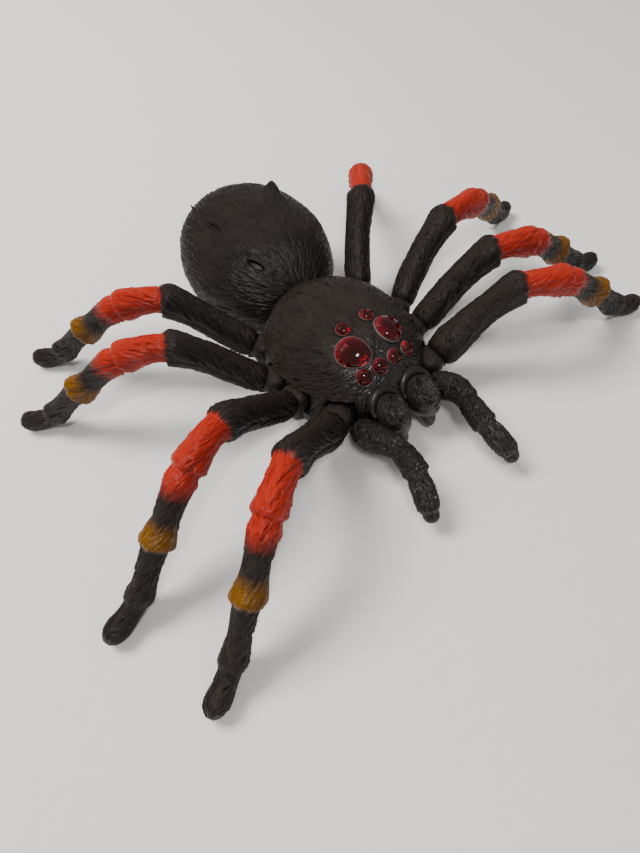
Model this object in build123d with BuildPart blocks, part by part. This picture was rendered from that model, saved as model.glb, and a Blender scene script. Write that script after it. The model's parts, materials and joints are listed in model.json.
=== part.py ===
from build123d import *
import math
import os

os.makedirs("parts", exist_ok=True)

# Walking spider toy, in millimetres. +Z is up, the ground is z = 0, the head points
# towards -Y and the spider's own left side is +X. Everything is designed about a mid-plane
# x = 0 and moved on to MID_X when it is written, so that the unequal leg poses centre on
# the origin. The right side's dimensions mirror the left side's.
MID_X = -2.4

# ---------------------------------------------------------------- body shells
CARAPACE_CENTRE = (0, -13.4, 11.1)
CARAPACE_AXES = (36.4, 41.9, 25.7)
CARAPACE_PITCH = 10.1
ABDOMEN_CENTRE = (0, 62.6, 21.2)
ABDOMEN_AXES = (38.5, 42.8, 24.1)
ABDOMEN_PITCH = 15.9
SHELL_WALL = 1.8
SHELL_GAP = 0.5
BELLY_Z = 3.0
TRAY_FLOOR_Z = 5.0
PARTING_Z = 8.9
ABDOMEN_BELLY_Z = 4.5
ABDOMEN_FLOOR_Z = 6.5
ABDOMEN_PARTING_Z = 16.0

# ---------------------------------------------------------------- legs, front to rear
# Pivot of each left leg, its mean angle forward of straight out, and how far the legs
# stand from that mean at rest: the right legs forward of it, the left legs behind it.
PIVOTS = [(26.0, -42.2), (33.5, -22.2), (35.8, -8.2), (29.1, 11.9)]
MEAN_YAW = [23.7, 14.15, -22.5, -45.5]
REST_SWING = [9.4, 7.0, -7.0, 7.2]
LEVER_LENGTH = [9.0, 12.1, None, 11.75]
HUB_BASE_Z = 9.0
HUB_TOP_Z = 16.0
HUB_RADIUS = 5.6
PIVOT_RADIUS = 1.5
RUNNING_GAP = 0.06
ARM_WIDTH = 6.0
ARM_BASE_Z = 9.6
ARM_TOP_Z = 15.4
ARM_REACH = 7.8
PEG_RADIUS = 2.9
PEG_LENGTH = 17.0
PEG_START = (6.4, 11.9)
PEG_SLOPE = 43.0
LEVER_WIDTH = 4.0
LEVER_PIN_RADIUS = 1.2
LEVER_BASE_Z = 12.4
LEVER_TOP_Z = 14.4
SECTOR_TEETH = 16
SECTOR_TOP_Z = 11.8
SECTOR_NOTCH_TOP_Z = 15.6
ARCH_RADIUS = 7.2
ARCH_TOP_Z = 19.4
LEVER_POCKET = (17.3, -43.2, 6.6, 6.4)

# Centre line of a leg as (reach from the pivot, height, radius): rounded root, thigh with
# its cuff, knee segment with a groove, flared ankle, foot bump and toe.
LEG_STATIONS = [
    (6.9, 12.2, 3.0),
    (8.8, 14.0, 5.6),
    (12.5, 17.4, 6.9),
    (24.0, 28.0, 7.4),
    (34.0, 37.3, 7.5),
    (39.6, 41.4, 7.7),
    (40.8, 41.9, 5.9),
    (50.0, 42.0, 6.3),
    (58.3, 40.1, 7.1),
    (61.4, 38.9, 5.6),
    (64.2, 37.6, 6.3),
    (69.5, 34.6, 6.0),
    (78.8, 27.4, 5.6),
    (85.2, 23.0, 7.2),
    (86.8, 21.9, 7.0),
    (88.0, 21.0, 5.2),
    (96.0, 14.3, 5.3),
    (101.0, 10.3, 6.4),
    (103.6, 8.6, 4.9),
    (109.5, 6.0, 5.3),
    (114.2, 5.2, 5.7),
    (117.6, 5.0, 4.2),
    (119.3, 4.9, 1.6),
]

# ---------------------------------------------------------------- drive
BAR_INNER_X = 14.0
BAR_OUTER_X = 20.0
BAR_BASE_Z = 9.0
BAR_TOP_Z = 12.0
BAR_FRONT_Y = -45.4
BAR_REAR_Y = 15.6
BAR_CLEARANCE = 0.4
BAR_TRAVEL = 1.73
SLOT_PLAY = 0.1
POST_YS = [-32.0, 2.0]
POST_RADIUS = 1.5
YOKE_TOP_Z = 21.5
YOKE_WIDTH = 9.0
YOKE_DEPTH = 2.0
CRANK_PIN_RADIUS = 1.25
CRANK_DISC_RADIUS = 4.4
CRANK_DISC_X = (12.0, 13.2)
CRANK_PIN_END_X = 13.7

GEAR_MODULE = 0.6
BACKLASH = 0.12
PRESSURE_ANGLE = 20.0
PINION_TEETH = 10
COMPOUND_WHEEL_TEETH = 30
COMPOUND_PINION_TEETH = 12
CRANK_GEAR_TEETH = 30
AXLE_GEAR_TEETH = 18
OUTPUT_LAYER_X = (-3.4, -0.6)
INPUT_LAYER_X = (0.4, 3.0)
SHAFT_RADIUS = 1.5
FIXED_PIN_RADIUS = 1.0
PLATE_X = (5.0, 6.6)
PLATE_RIM = 2.8

WHEEL_RADIUS = 11.0
WHEEL_HUB_RADIUS = 8.4
WHEEL_X = (7.2, 11.6)
AXLE_CENTRE = (2.0, WHEEL_RADIUS)
ROLLER_RADIUS = 4.5
ROLLER_CENTRE = (87.0, ROLLER_RADIUS)

MOTOR_RADIUS = 7.5
MOTOR_X = (-13.5, -0.5)
CELL_RADIUS = 5.2
CELL_Y = (34.6, 78.6)
CELL_Z = ABDOMEN_FLOOR_Z + 0.4 + CELL_RADIUS
BOARD_Z = 24.0


def write(piece, name):
    """Move a finished piece on to the frame's mid-plane, label it and export it."""
    piece.part = piece.part.moved(Location((MID_X, 0, 0)))
    piece.part.label = name
    export_step(piece.part, f"parts/{name}.step")


def ellipsoid(centre, axes, pitch, grow=0.0):
    """Ellipsoid whose rear end is tipped up by pitch degrees, grown by grow all round."""
    axes = tuple(axis + grow for axis in axes)
    ball = scale(Solid.make_sphere(1), by=axes, mode=Mode.PRIVATE)
    return Location(centre, (pitch, 0, 0)) * ball


def lens(place, axes):
    """Flattened dome centred on a plane, its short axis along the plane's normal."""
    return place.location * scale(Solid.make_sphere(1), by=axes, mode=Mode.PRIVATE)


def carapace_body(grow=0.0):
    return ellipsoid(CARAPACE_CENTRE, CARAPACE_AXES, CARAPACE_PITCH, grow)


def abdomen_body(grow=0.0):
    return ellipsoid(ABDOMEN_CENTRE, ABDOMEN_AXES, ABDOMEN_PITCH, grow)


def carapace_plane(x, y):
    """Plane that touches the top of the carapace above (x, y), with its normal outwards."""
    turn = math.radians(CARAPACE_PITCH)
    dx = x - CARAPACE_CENTRE[0]
    dy = y - CARAPACE_CENTRE[1]
    a, b, c = CARAPACE_AXES
    square = (math.sin(turn) / b) ** 2 + (math.cos(turn) / c) ** 2
    linear = dy * math.sin(turn) * math.cos(turn) * (1 / b**2 - 1 / c**2)
    rest = (dx / a) ** 2 + dy**2 * ((math.cos(turn) / b) ** 2 + (math.sin(turn) / c) ** 2) - 1
    dz = (-linear + math.sqrt(linear**2 - square * rest)) / square
    along = dy * math.cos(turn) + dz * math.sin(turn)
    across = -dy * math.sin(turn) + dz * math.cos(turn)
    slope_y = along / b**2 * math.cos(turn) - across / c**2 * math.sin(turn)
    slope_z = along / b**2 * math.sin(turn) + across / c**2 * math.cos(turn)
    return Plane(
        origin=(x, y, CARAPACE_CENTRE[2] + dz),
        x_dir=(0, -slope_z, slope_y),
        z_dir=(dx / a**2, slope_y, slope_z),
    )


def shaft_plane(x, centre):
    """Plane across an axis that runs along X through the (y, z) centre."""
    return Plane(origin=(x, centre[0], centre[1]), x_dir=(0, 1, 0), z_dir=(1, 0, 0))


def polar(centre, distance, degrees):
    turn = math.radians(degrees)
    return (centre[0] + distance * math.cos(turn), centre[1] + distance * math.sin(turn))


def gear_outline(teeth, module, phase, first=0, count=None, blank_radius=None):
    """Involute gear outline with a tooth centred on phase degrees. With a count, only the
    teeth from first on are cut and the rest of the rim is a plain arc."""
    pitch_radius = teeth * module / 2
    base_radius = pitch_radius * math.cos(math.radians(PRESSURE_ANGLE))
    root_radius = pitch_radius - 1.2 * module
    tip_radius = pitch_radius + 0.95 * module
    at_pitch = math.pi / (2 * teeth) - BACKLASH / (2 * pitch_radius)
    pressure = math.radians(PRESSURE_ANGLE)
    start = max(base_radius, root_radius)
    radii = [start, (start + pitch_radius) / 2, pitch_radius, (pitch_radius + tip_radius) / 2, tip_radius]

    def half_angle(radius):
        local = math.acos(min(1.0, base_radius / radius))
        return at_pitch + (math.tan(pressure) - pressure) - (math.tan(local) - local)

    def at(radius, angle):
        return (radius * math.cos(angle), radius * math.sin(angle))

    points = []
    cut = teeth if count is None else count
    for index in range(first, first + cut):
        middle = math.radians(phase + index * 360 / teeth)
        points.append(at(root_radius, middle - half_angle(start)))
        points += [at(radius, middle - half_angle(radius)) for radius in radii]
        points += [at(radius, middle + half_angle(radius)) for radius in reversed(radii)]
        points.append(at(root_radius, middle + half_angle(start)))
    if count is not None:
        rim = blank_radius or root_radius
        begin = phase + (first + cut - 0.5) * 360 / teeth
        end = phase + (first - 0.5 + teeth) * 360 / teeth
        steps = 24
        for step in range(steps + 1):
            points.append(at(rim, math.radians(begin + (end - begin) * step / steps)))
    return points


def mating_phase(phase, teeth, other_teeth, direction):
    """Phase of the gear that meshes with a gear at phase, across the direction given."""
    fraction = (direction - phase) * teeth / 360
    return direction + 180 - (0.5 - fraction) * 360 / other_teeth


# Shaft centres in (y, z), each set off from the last by the sum of two pitch radii.
CRANK_DIRECTION = 157.5
COMPOUND_DIRECTION = 161.0
MOTOR_DIRECTION = 200.0
CRANK_CENTRE = polar(AXLE_CENTRE, (AXLE_GEAR_TEETH + CRANK_GEAR_TEETH) * GEAR_MODULE / 2, CRANK_DIRECTION)
COMPOUND_CENTRE = polar(
    CRANK_CENTRE, (CRANK_GEAR_TEETH + COMPOUND_PINION_TEETH) * GEAR_MODULE / 2, COMPOUND_DIRECTION
)
MOTOR_CENTRE = polar(
    COMPOUND_CENTRE, (COMPOUND_WHEEL_TEETH + PINION_TEETH) * GEAR_MODULE / 2, MOTOR_DIRECTION
)
SPACER_CENTRES = [(6.0, 20.0), (-24.5, 8.0), (-8.0, 28.4)]

# ---------------------------------------------------------------- screw places
CARAPACE_SCREWS = [(8.0, -46.5), (-8.0, -46.5), (11.5, 19.8), (-11.5, 19.8)]
CARAPACE_SCREW_TOP_Z = 13.4
ABDOMEN_SCREWS = [(27.5, 50.0, 7.4), (-27.5, 50.0, 7.4), (17.0, 84.0, 9.4), (-17.0, 84.0, 9.4)]
ABDOMEN_SCREW_TOP_Z = 22.5
BOSS_LENGTH = 40.0
BOSS_RADIUS = 2.9
SCREW_RADIUS = 1.1
SCREW_HEAD_RADIUS = 2.1
TONGUE_Y = (22.8, 33.2)
TONGUE_Z = (6.6, 8.4)
TONGUE_HALF = 8.0
TONGUE_SCREWS = [(5.0, 29.6), (-5.0, 29.6)]
BOARD_POSTS = [(19.6, 46.0), (-19.6, 46.0), (19.6, 74.0), (-19.6, 74.0)]
DOOR_HALF = 17.6
DOOR_Y = (34.0, 79.6)
DOOR_SCREW = (0.0, 76.8)
SWITCH_Y = 18.6

# ---------------------------------------------------------------- eyes
LARGE_EYES = [(9.9, -30.6), (-9.9, -30.6)]
SMALL_EYES = [(6.3, -21.1), (-6.3, -21.1), (4.1, -42.8), (-4.1, -42.8), (12.1, -41.7), (-12.1, -41.7)]
LARGE_EYE_AXES = (7.0, 6.0, 3.6)
SMALL_EYE_AXES = (3.1, 3.0, 2.2)
LIGHT_PIPE_RADIUS = 2.6

# ================================================================ shells
with BuildPart() as carapace_bosses:
    with BuildSketch(Plane.XY.offset(PARTING_Z)):
        with Locations(*CARAPACE_SCREWS):
            Circle(BOSS_RADIUS)
    extrude(amount=BOSS_LENGTH)
    add(carapace_body(-SHELL_WALL / 2), mode=Mode.INTERSECT)
    with BuildSketch(Plane.XY.offset(PARTING_Z)):
        with Locations(*CARAPACE_SCREWS):
            Circle(SCREW_RADIUS + RUNNING_GAP)
    extrude(amount=CARAPACE_SCREW_TOP_Z + 0.6 - PARTING_Z, mode=Mode.SUBTRACT)

with BuildPart() as carapace_shell:
    add(carapace_body())
    add(carapace_body(-SHELL_WALL), mode=Mode.SUBTRACT)
    split(bisect_by=Plane.XY.offset(PARTING_Z), keep=Keep.TOP)
    add(carapace_bosses.part)
    for x, y in PIVOTS:
        with BuildSketch(Plane.XY.offset(PARTING_Z)):
            with Locations((x, y), (-x, y)):
                Circle(ARCH_RADIUS)
        extrude(amount=ARCH_TOP_Z - PARTING_Z, mode=Mode.SUBTRACT)
    with BuildSketch(Plane.XY.offset(PARTING_Z)):
        middle_y = (PIVOTS[1][1] + PIVOTS[2][1]) / 2
        with Locations((PIVOTS[2][0], middle_y), (-PIVOTS[2][0], middle_y)):
            Rectangle(2 * ARCH_RADIUS + 2, PIVOTS[2][1] - PIVOTS[1][1])
    extrude(amount=SECTOR_NOTCH_TOP_Z - PARTING_Z, mode=Mode.SUBTRACT)
    with BuildSketch(Plane.XY.offset(LEVER_BASE_Z - 0.4)):
        with Locations((LEVER_POCKET[0], LEVER_POCKET[1]), (-LEVER_POCKET[0], LEVER_POCKET[1])):
            Rectangle(LEVER_POCKET[2], LEVER_POCKET[3])
    extrude(amount=LEVER_TOP_Z - LEVER_BASE_Z + 0.8, mode=Mode.SUBTRACT)
    for x, y in LARGE_EYES:
        with BuildSketch(carapace_plane(x, y).offset(1.0)):
            Circle(LIGHT_PIPE_RADIUS + RUNNING_GAP)
        extrude(amount=-5.0, mode=Mode.SUBTRACT)
write(carapace_shell, "carapace_shell")

with BuildPart() as tray_cavity:
    add(carapace_body(-SHELL_WALL))
    split(bisect_by=Plane.XY.offset(TRAY_FLOOR_Z), keep=Keep.TOP)

with BuildPart() as chassis_tray:
    add(carapace_body())
    split(bisect_by=Plane.XY.offset(BELLY_Z), keep=Keep.TOP)
    split(bisect_by=Plane.XY.offset(PARTING_Z), keep=Keep.BOTTOM)
    add(tray_cavity.part, mode=Mode.SUBTRACT)
    for x, y in PIVOTS:
        with BuildSketch(Plane.XY.offset(BELLY_Z + 0.4)):
            with Locations((x, y), (-x, y)):
                Circle(PIVOT_RADIUS + 3.2)
        extrude(amount=PARTING_Z - BELLY_Z - 0.4)
    for y in POST_YS:
        with BuildSketch(Plane.XY.offset(BELLY_Z + 0.4)):
            with Locations((17.0, y), (-17.0, y)):
                Circle(POST_RADIUS + 1.6)
        extrude(amount=PARTING_Z - BELLY_Z - 0.4)
        with BuildSketch(Plane.XY.offset(PARTING_Z)):
            with Locations((17.0, y), (-17.0, y)):
                Circle(POST_RADIUS)
        extrude(amount=BAR_TOP_Z + 1.0 - PARTING_Z)
    with BuildSketch(Plane.XY.offset(BELLY_Z + 0.4)):
        with Locations(*CARAPACE_SCREWS):
            Circle(BOSS_RADIUS)
    extrude(amount=PARTING_Z - BELLY_Z - 0.4)
    with BuildSketch(Plane.XY.offset(TONGUE_Z[0])):
        with Locations((0, (TONGUE_Y[0] + TONGUE_Y[1]) / 2)):
            Rectangle(2 * TONGUE_HALF, TONGUE_Y[1] - TONGUE_Y[0])
    extrude(amount=TONGUE_Z[1] - TONGUE_Z[0])
    with BuildSketch(Plane.XY.offset(TRAY_FLOOR_Z)):
        with Locations((sum(MOTOR_X) / 2, MOTOR_CENTRE[0])):
            Rectangle(MOTOR_X[1] - MOTOR_X[0] - 2, 2 * MOTOR_RADIUS - 2)
    extrude(amount=7.5)
    with BuildSketch(shaft_plane(MOTOR_X[0] - 1, MOTOR_CENTRE)):
        Circle(MOTOR_RADIUS + RUNNING_GAP)
    extrude(amount=MOTOR_X[1] - MOTOR_X[0] + 2, mode=Mode.SUBTRACT)
    for side in (-1, 1):
        with BuildSketch(Plane.XY.offset(BELLY_Z - 1)):
            with Locations((side * sum(WHEEL_X) / 2, AXLE_CENTRE[0])):
                Rectangle(WHEEL_X[1] - WHEEL_X[0] + 1.0, 2 * WHEEL_RADIUS + 0.4)
        extrude(amount=TRAY_FLOOR_Z - BELLY_Z + 4, mode=Mode.SUBTRACT)
    with BuildSketch(Plane.XY.offset(BELLY_Z - 1)):
        with Locations((0, SWITCH_Y)):
            Rectangle(9.2, 3.4)
    extrude(amount=TRAY_FLOOR_Z - BELLY_Z + 2, mode=Mode.SUBTRACT)
    for x, y in PIVOTS:
        with BuildSketch(Plane.XY.offset(BELLY_Z - 1)):
            with Locations((x, y), (-x, y)):
                Circle(PIVOT_RADIUS + 0.02)
        extrude(amount=PARTING_Z, mode=Mode.SUBTRACT)
    with BuildSketch(Plane.XY.offset(BELLY_Z - 1)):
        with Locations(*CARAPACE_SCREWS):
            Circle(SCREW_RADIUS + RUNNING_GAP)
    extrude(amount=PARTING_Z, mode=Mode.SUBTRACT)
    with BuildSketch(Plane.XY.offset(BELLY_Z - 1)):
        with Locations(*CARAPACE_SCREWS):
            Circle(SCREW_HEAD_RADIUS + RUNNING_GAP)
    extrude(amount=3.0, mode=Mode.SUBTRACT)
    with BuildSketch(Plane.XY.offset(TONGUE_Z[0] - 1)):
        with Locations(*TONGUE_SCREWS):
            Circle(SCREW_RADIUS + RUNNING_GAP)
    extrude(amount=TONGUE_Z[1] - TONGUE_Z[0] + 2, mode=Mode.SUBTRACT)
write(chassis_tray, "chassis_tray")

with BuildPart() as abdomen_bosses:
    for x, y, base in ABDOMEN_SCREWS:
        with BuildSketch(Plane.XY.offset(ABDOMEN_PARTING_Z)):
            with Locations((x, y)):
                Circle(BOSS_RADIUS)
        extrude(amount=BOSS_LENGTH)
    add(abdomen_body(-SHELL_WALL / 2), mode=Mode.INTERSECT)
    for x, y, base in ABDOMEN_SCREWS:
        with BuildSketch(Plane.XY.offset(ABDOMEN_PARTING_Z)):
            with Locations((x, y)):
                Circle(SCREW_RADIUS + RUNNING_GAP)
        extrude(amount=ABDOMEN_SCREW_TOP_Z + 0.6 - ABDOMEN_PARTING_Z, mode=Mode.SUBTRACT)

with BuildPart() as abdomen_upper_shell:
    add(abdomen_body())
    add(abdomen_body(-SHELL_WALL), mode=Mode.SUBTRACT)
    split(bisect_by=Plane.XY.offset(ABDOMEN_PARTING_Z), keep=Keep.TOP)
    add(abdomen_bosses.part)
    add(carapace_body(SHELL_GAP), mode=Mode.SUBTRACT)
write(abdomen_upper_shell, "abdomen_upper_shell")

with BuildPart() as abdomen_cavity:
    add(abdomen_body(-SHELL_WALL))
    split(bisect_by=Plane.XY.offset(ABDOMEN_FLOOR_Z), keep=Keep.TOP)

with BuildPart() as abdomen_lower_shell:
    add(abdomen_body())
    split(bisect_by=Plane.XY.offset(ABDOMEN_BELLY_Z), keep=Keep.TOP)
    split(bisect_by=Plane.XY.offset(ABDOMEN_PARTING_Z), keep=Keep.BOTTOM)
    add(abdomen_cavity.part, mode=Mode.SUBTRACT)
    for x, y, base in ABDOMEN_SCREWS:
        with BuildSketch(Plane.XY.offset(base)):
            with Locations((x, y)):
                Circle(BOSS_RADIUS)
                Circle(SCREW_RADIUS + RUNNING_GAP, mode=Mode.SUBTRACT)
        extrude(amount=ABDOMEN_PARTING_Z - base)
        with BuildSketch(Plane.XY.offset(BELLY_Z)):
            with Locations((x, y)):
                Circle(SCREW_HEAD_RADIUS + RUNNING_GAP)
        extrude(amount=base - BELLY_Z, mode=Mode.SUBTRACT)
        with BuildSketch(Plane.XY.offset(BELLY_Z)):
            with Locations((x, y)):
                Circle(SCREW_RADIUS + RUNNING_GAP)
        extrude(amount=ABDOMEN_PARTING_Z, mode=Mode.SUBTRACT)
    for x, y in BOARD_POSTS:
        with BuildSketch(Plane.XY.offset(ABDOMEN_FLOOR_Z - 0.5)):
            with Locations((x, y)):
                Circle(1.9)
        extrude(amount=BOARD_Z - ABDOMEN_FLOOR_Z + 0.5)
    for side in (-1, 1):
        with BuildSketch(Plane.YZ.offset(side * 6.5)):
            with Locations(ROLLER_CENTRE):
                Circle(2.4)
            with Locations((ROLLER_CENTRE[0], ROLLER_CENTRE[1] + 2.9)):
                Rectangle(4.8, 5.8)
        extrude(amount=0.8, both=True)
    with BuildSketch(Plane.XY.offset(BELLY_Z - 1)):
        with Locations((0, ROLLER_CENTRE[0])):
            Rectangle(2 * 5.5, 2 * ROLLER_RADIUS + 1.2)
    extrude(amount=12, mode=Mode.SUBTRACT)
    with BuildSketch(shaft_plane(-9, ROLLER_CENTRE)):
        Circle(FIXED_PIN_RADIUS + 0.02)
    extrude(amount=18, mode=Mode.SUBTRACT)
    with BuildSketch(Plane.XY.offset(ABDOMEN_BELLY_Z - 1)):
        with Locations((0, sum(DOOR_Y) / 2)):
            Rectangle(2 * DOOR_HALF + 0.4, DOOR_Y[1] - DOOR_Y[0] + 0.4)
    extrude(amount=4, mode=Mode.SUBTRACT)
    with BuildSketch(Plane.XY.offset(TONGUE_Z[0] - 0.05)):
        with Locations((0, (TONGUE_Y[0] + TONGUE_Y[1]) / 2)):
            Rectangle(2 * TONGUE_HALF + 0.2, TONGUE_Y[1] - TONGUE_Y[0] + 0.2)
    extrude(amount=TONGUE_Z[1] - TONGUE_Z[0] + 0.2, mode=Mode.SUBTRACT)
    with BuildSketch(Plane.XY.offset(ABDOMEN_BELLY_Z - 1)):
        with Locations(*TONGUE_SCREWS):
            Circle(SCREW_RADIUS + RUNNING_GAP)
    extrude(amount=5, mode=Mode.SUBTRACT)
    add(carapace_body(SHELL_GAP), mode=Mode.SUBTRACT)
write(abdomen_lower_shell, "abdomen_lower_shell")

with BuildPart() as battery_door:
    with BuildSketch(Plane.XY.offset(ABDOMEN_BELLY_Z)):
        with Locations((0, sum(DOOR_Y) / 2)):
            RectangleRounded(2 * DOOR_HALF, DOOR_Y[1] - DOOR_Y[0], 1.0)
    extrude(amount=1.6)
    with BuildSketch(Plane.XY.offset(ABDOMEN_BELLY_Z)):
        with GridLocations(0, 3.0, 1, 3):
            with Locations((0, 42.0)):
                SlotOverall(12.0, 1.2)
    extrude(amount=0.5, mode=Mode.SUBTRACT)
    with BuildSketch(Plane.XY.offset(ABDOMEN_BELLY_Z)):
        with Locations(DOOR_SCREW):
            Circle(SCREW_RADIUS + RUNNING_GAP)
    extrude(amount=2, mode=Mode.SUBTRACT)
write(battery_door, "battery_door")

with BuildPart() as battery_door_screw:
    with BuildSketch(Plane.XY.offset(ABDOMEN_BELLY_Z - 1.2)):
        with Locations(DOOR_SCREW):
            Circle(SCREW_HEAD_RADIUS)
    extrude(amount=1.2)
    with BuildSketch(Plane.XY.offset(ABDOMEN_BELLY_Z)):
        with Locations(DOOR_SCREW):
            Circle(SCREW_RADIUS)
    extrude(amount=2.2)
    with BuildSketch(Plane.XY.offset(ABDOMEN_BELLY_Z - 1.2)):
        with Locations(DOOR_SCREW):
            Rectangle(2.6, 0.6)
            Rectangle(0.6, 2.6)
    extrude(amount=0.6, mode=Mode.SUBTRACT)
write(battery_door_screw, "battery_door_screw")

# ================================================================ power and electronics
with BuildPart() as battery_cells:
    with BuildSketch(Plane(origin=(0, CELL_Y[0], CELL_Z), x_dir=(1, 0, 0), z_dir=(0, 1, 0))):
        with GridLocations(2 * CELL_RADIUS + 0.3, 0, 3, 1):
            Circle(CELL_RADIUS)
    extrude(amount=CELL_Y[1] - CELL_Y[0] - 1.2)
    with BuildSketch(Plane(origin=(0, CELL_Y[0], CELL_Z), x_dir=(1, 0, 0), z_dir=(0, 1, 0))):
        with GridLocations(2 * CELL_RADIUS + 0.3, 0, 3, 1):
            Circle(1.9)
    extrude(amount=CELL_Y[1] - CELL_Y[0])
write(battery_cells, "battery_cells")

with BuildPart() as battery_contacts:
    for y in (CELL_Y[0] - 0.5, CELL_Y[1] + 0.05):
        with BuildSketch(Plane(origin=(0, y, CELL_Z), x_dir=(1, 0, 0), z_dir=(0, 1, 0))):
            with GridLocations(2 * CELL_RADIUS + 0.3, 0, 3, 1):
                Rectangle(7.6, 8.0)
        extrude(amount=0.4)
write(battery_contacts, "battery_contacts")

with BuildPart() as circuit_board:
    with BuildSketch(Plane.XY.offset(BOARD_Z)):
        with Locations((0, 60.0)):
            RectangleRounded(44.0, 34.0, 2.0)
    extrude(amount=1.2)
    with BuildSketch(Plane.XY.offset(BOARD_Z + 1.2)):
        with Locations((-6.0, 62.0)):
            Rectangle(10.0, 8.0)
        with Locations((12.0, 52.0), (12.0, 60.0)):
            Circle(2.6)
        with Locations((-15.0, 50.0), (4.0, 50.0)):
            Rectangle(6.0, 3.4)
    extrude(amount=2.4)
write(circuit_board, "circuit_board")

with BuildPart() as switch_body:
    with BuildSketch(Plane.XY.offset(TRAY_FLOOR_Z + 0.05)):
        with Locations((0, SWITCH_Y)):
            Rectangle(13.0, 5.6)
            Rectangle(9.4, 3.0, mode=Mode.SUBTRACT)
    extrude(amount=4.4)
    with BuildSketch(Plane.XY.offset(TRAY_FLOOR_Z + 4.45)):
        with Locations((0, SWITCH_Y)):
            Rectangle(13.0, 5.6)
    extrude(amount=0.9)
write(switch_body, "switch_body")

with BuildPart() as switch_knob:
    with BuildSketch(Plane.XY.offset(TRAY_FLOOR_Z + 0.6)):
        with Locations((-2.2, SWITCH_Y)):
            Rectangle(4.2, 2.6)
    extrude(amount=3.2)
    with BuildSketch(Plane.XY.offset(BELLY_Z - 1.2)):
        with Locations((-2.2, SWITCH_Y)):
            Rectangle(2.8, 2.4)
    extrude(amount=TRAY_FLOOR_Z - BELLY_Z + 1.9)
write(switch_knob, "switch_knob")

with BuildPart() as motor_can:
    with BuildSketch(shaft_plane(MOTOR_X[0], MOTOR_CENTRE)):
        Circle(MOTOR_RADIUS)
    extrude(amount=MOTOR_X[1] - MOTOR_X[0])
    fillet(motor_can.edges().filter_by(GeomType.CIRCLE), radius=1.0)
    with BuildSketch(shaft_plane(MOTOR_X[1] - 3.4, MOTOR_CENTRE)):
        Circle(FIXED_PIN_RADIUS + RUNNING_GAP)
    extrude(amount=6, mode=Mode.SUBTRACT)
write(motor_can, "motor_can")

with BuildPart() as motor_strap:
    with BuildSketch(shaft_plane(MOTOR_X[0] + 2.5, MOTOR_CENTRE)):
        Circle(MOTOR_RADIUS + 1.0)
        with Locations((0, -2.0)):
            Rectangle(2 * MOTOR_RADIUS + 2, 4.0)
        Circle(MOTOR_RADIUS + 0.05, mode=Mode.SUBTRACT)
        with Locations((0, -MOTOR_RADIUS - 4.0)):
            Rectangle(30, 2 * MOTOR_RADIUS, mode=Mode.SUBTRACT)
    extrude(amount=4.0)
write(motor_strap, "motor_strap")

with BuildPart() as eye_lights:
    for x, y in LARGE_EYES:
        with BuildSketch(carapace_plane(x, y).offset(-6.4)):
            Circle(1.5)
        extrude(amount=2.6)
        with BuildSketch(carapace_plane(x, y).offset(-6.4)):
            Circle(1.9)
        extrude(amount=-0.8)
write(eye_lights, "eye_lights")

# ================================================================ gearbox
for side, name in ((-1, "gearbox_plate_right"), (1, "gearbox_plate_left")):
    with BuildPart() as gearbox_plate:
        low_x = min(side * PLATE_X[0], side * PLATE_X[1])
        with BuildSketch(shaft_plane(low_x, (0, 0))):
            with Locations(AXLE_CENTRE, CRANK_CENTRE, COMPOUND_CENTRE, *SPACER_CENTRES):
                Circle(PLATE_RIM)
            make_hull()
            with Locations((AXLE_CENTRE[0], 6.6), (SPACER_CENTRES[1][0], 6.2)):
                Rectangle(5.0, 2.7)
            with Locations((0, TRAY_FLOOR_Z - 5.0)):
                Rectangle(200, 10.0, mode=Mode.SUBTRACT)
            with Locations(AXLE_CENTRE, CRANK_CENTRE):
                Circle(SHAFT_RADIUS + RUNNING_GAP, mode=Mode.SUBTRACT)
            with Locations(COMPOUND_CENTRE, *SPACER_CENTRES):
                Circle(FIXED_PIN_RADIUS + 0.02, mode=Mode.SUBTRACT)
        extrude(amount=PLATE_X[1] - PLATE_X[0])
    write(gearbox_plate, name)

with BuildPart() as gearbox_spacers:
    for centre in SPACER_CENTRES:
        with BuildSketch(shaft_plane(-PLATE_X[0] + 0.02, centre)):
            Circle(1.8)
        extrude(amount=2 * PLATE_X[0] - 0.04)
        with BuildSketch(shaft_plane(-PLATE_X[1], centre)):
            Circle(FIXED_PIN_RADIUS)
        extrude(amount=2 * PLATE_X[1])
write(gearbox_spacers, "gearbox_spacers")

with BuildPart() as compound_gear_pin:
    with BuildSketch(shaft_plane(-PLATE_X[1], COMPOUND_CENTRE)):
        Circle(FIXED_PIN_RADIUS)
    extrude(amount=2 * PLATE_X[1])
write(compound_gear_pin, "compound_gear_pin")

axle_phase = 0.0
crank_phase = mating_phase(axle_phase, AXLE_GEAR_TEETH, CRANK_GEAR_TEETH, CRANK_DIRECTION)
compound_phase = mating_phase(crank_phase, CRANK_GEAR_TEETH, COMPOUND_PINION_TEETH, COMPOUND_DIRECTION)
wheel_phase = compound_phase
pinion_phase = mating_phase(wheel_phase, COMPOUND_WHEEL_TEETH, PINION_TEETH, MOTOR_DIRECTION)

with BuildPart() as motor_pinion:
    with BuildSketch(shaft_plane(INPUT_LAYER_X[0], MOTOR_CENTRE)):
        with BuildLine():
            Polyline(*gear_outline(PINION_TEETH, GEAR_MODULE, pinion_phase), close=True)
        make_face()
    extrude(amount=INPUT_LAYER_X[1] - INPUT_LAYER_X[0])
    with BuildSketch(shaft_plane(MOTOR_X[1] - 3.0, MOTOR_CENTRE)):
        Circle(FIXED_PIN_RADIUS)
    extrude(amount=INPUT_LAYER_X[1] + 0.6 - MOTOR_X[1] + 3.0)
write(motor_pinion, "motor_pinion")

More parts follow.
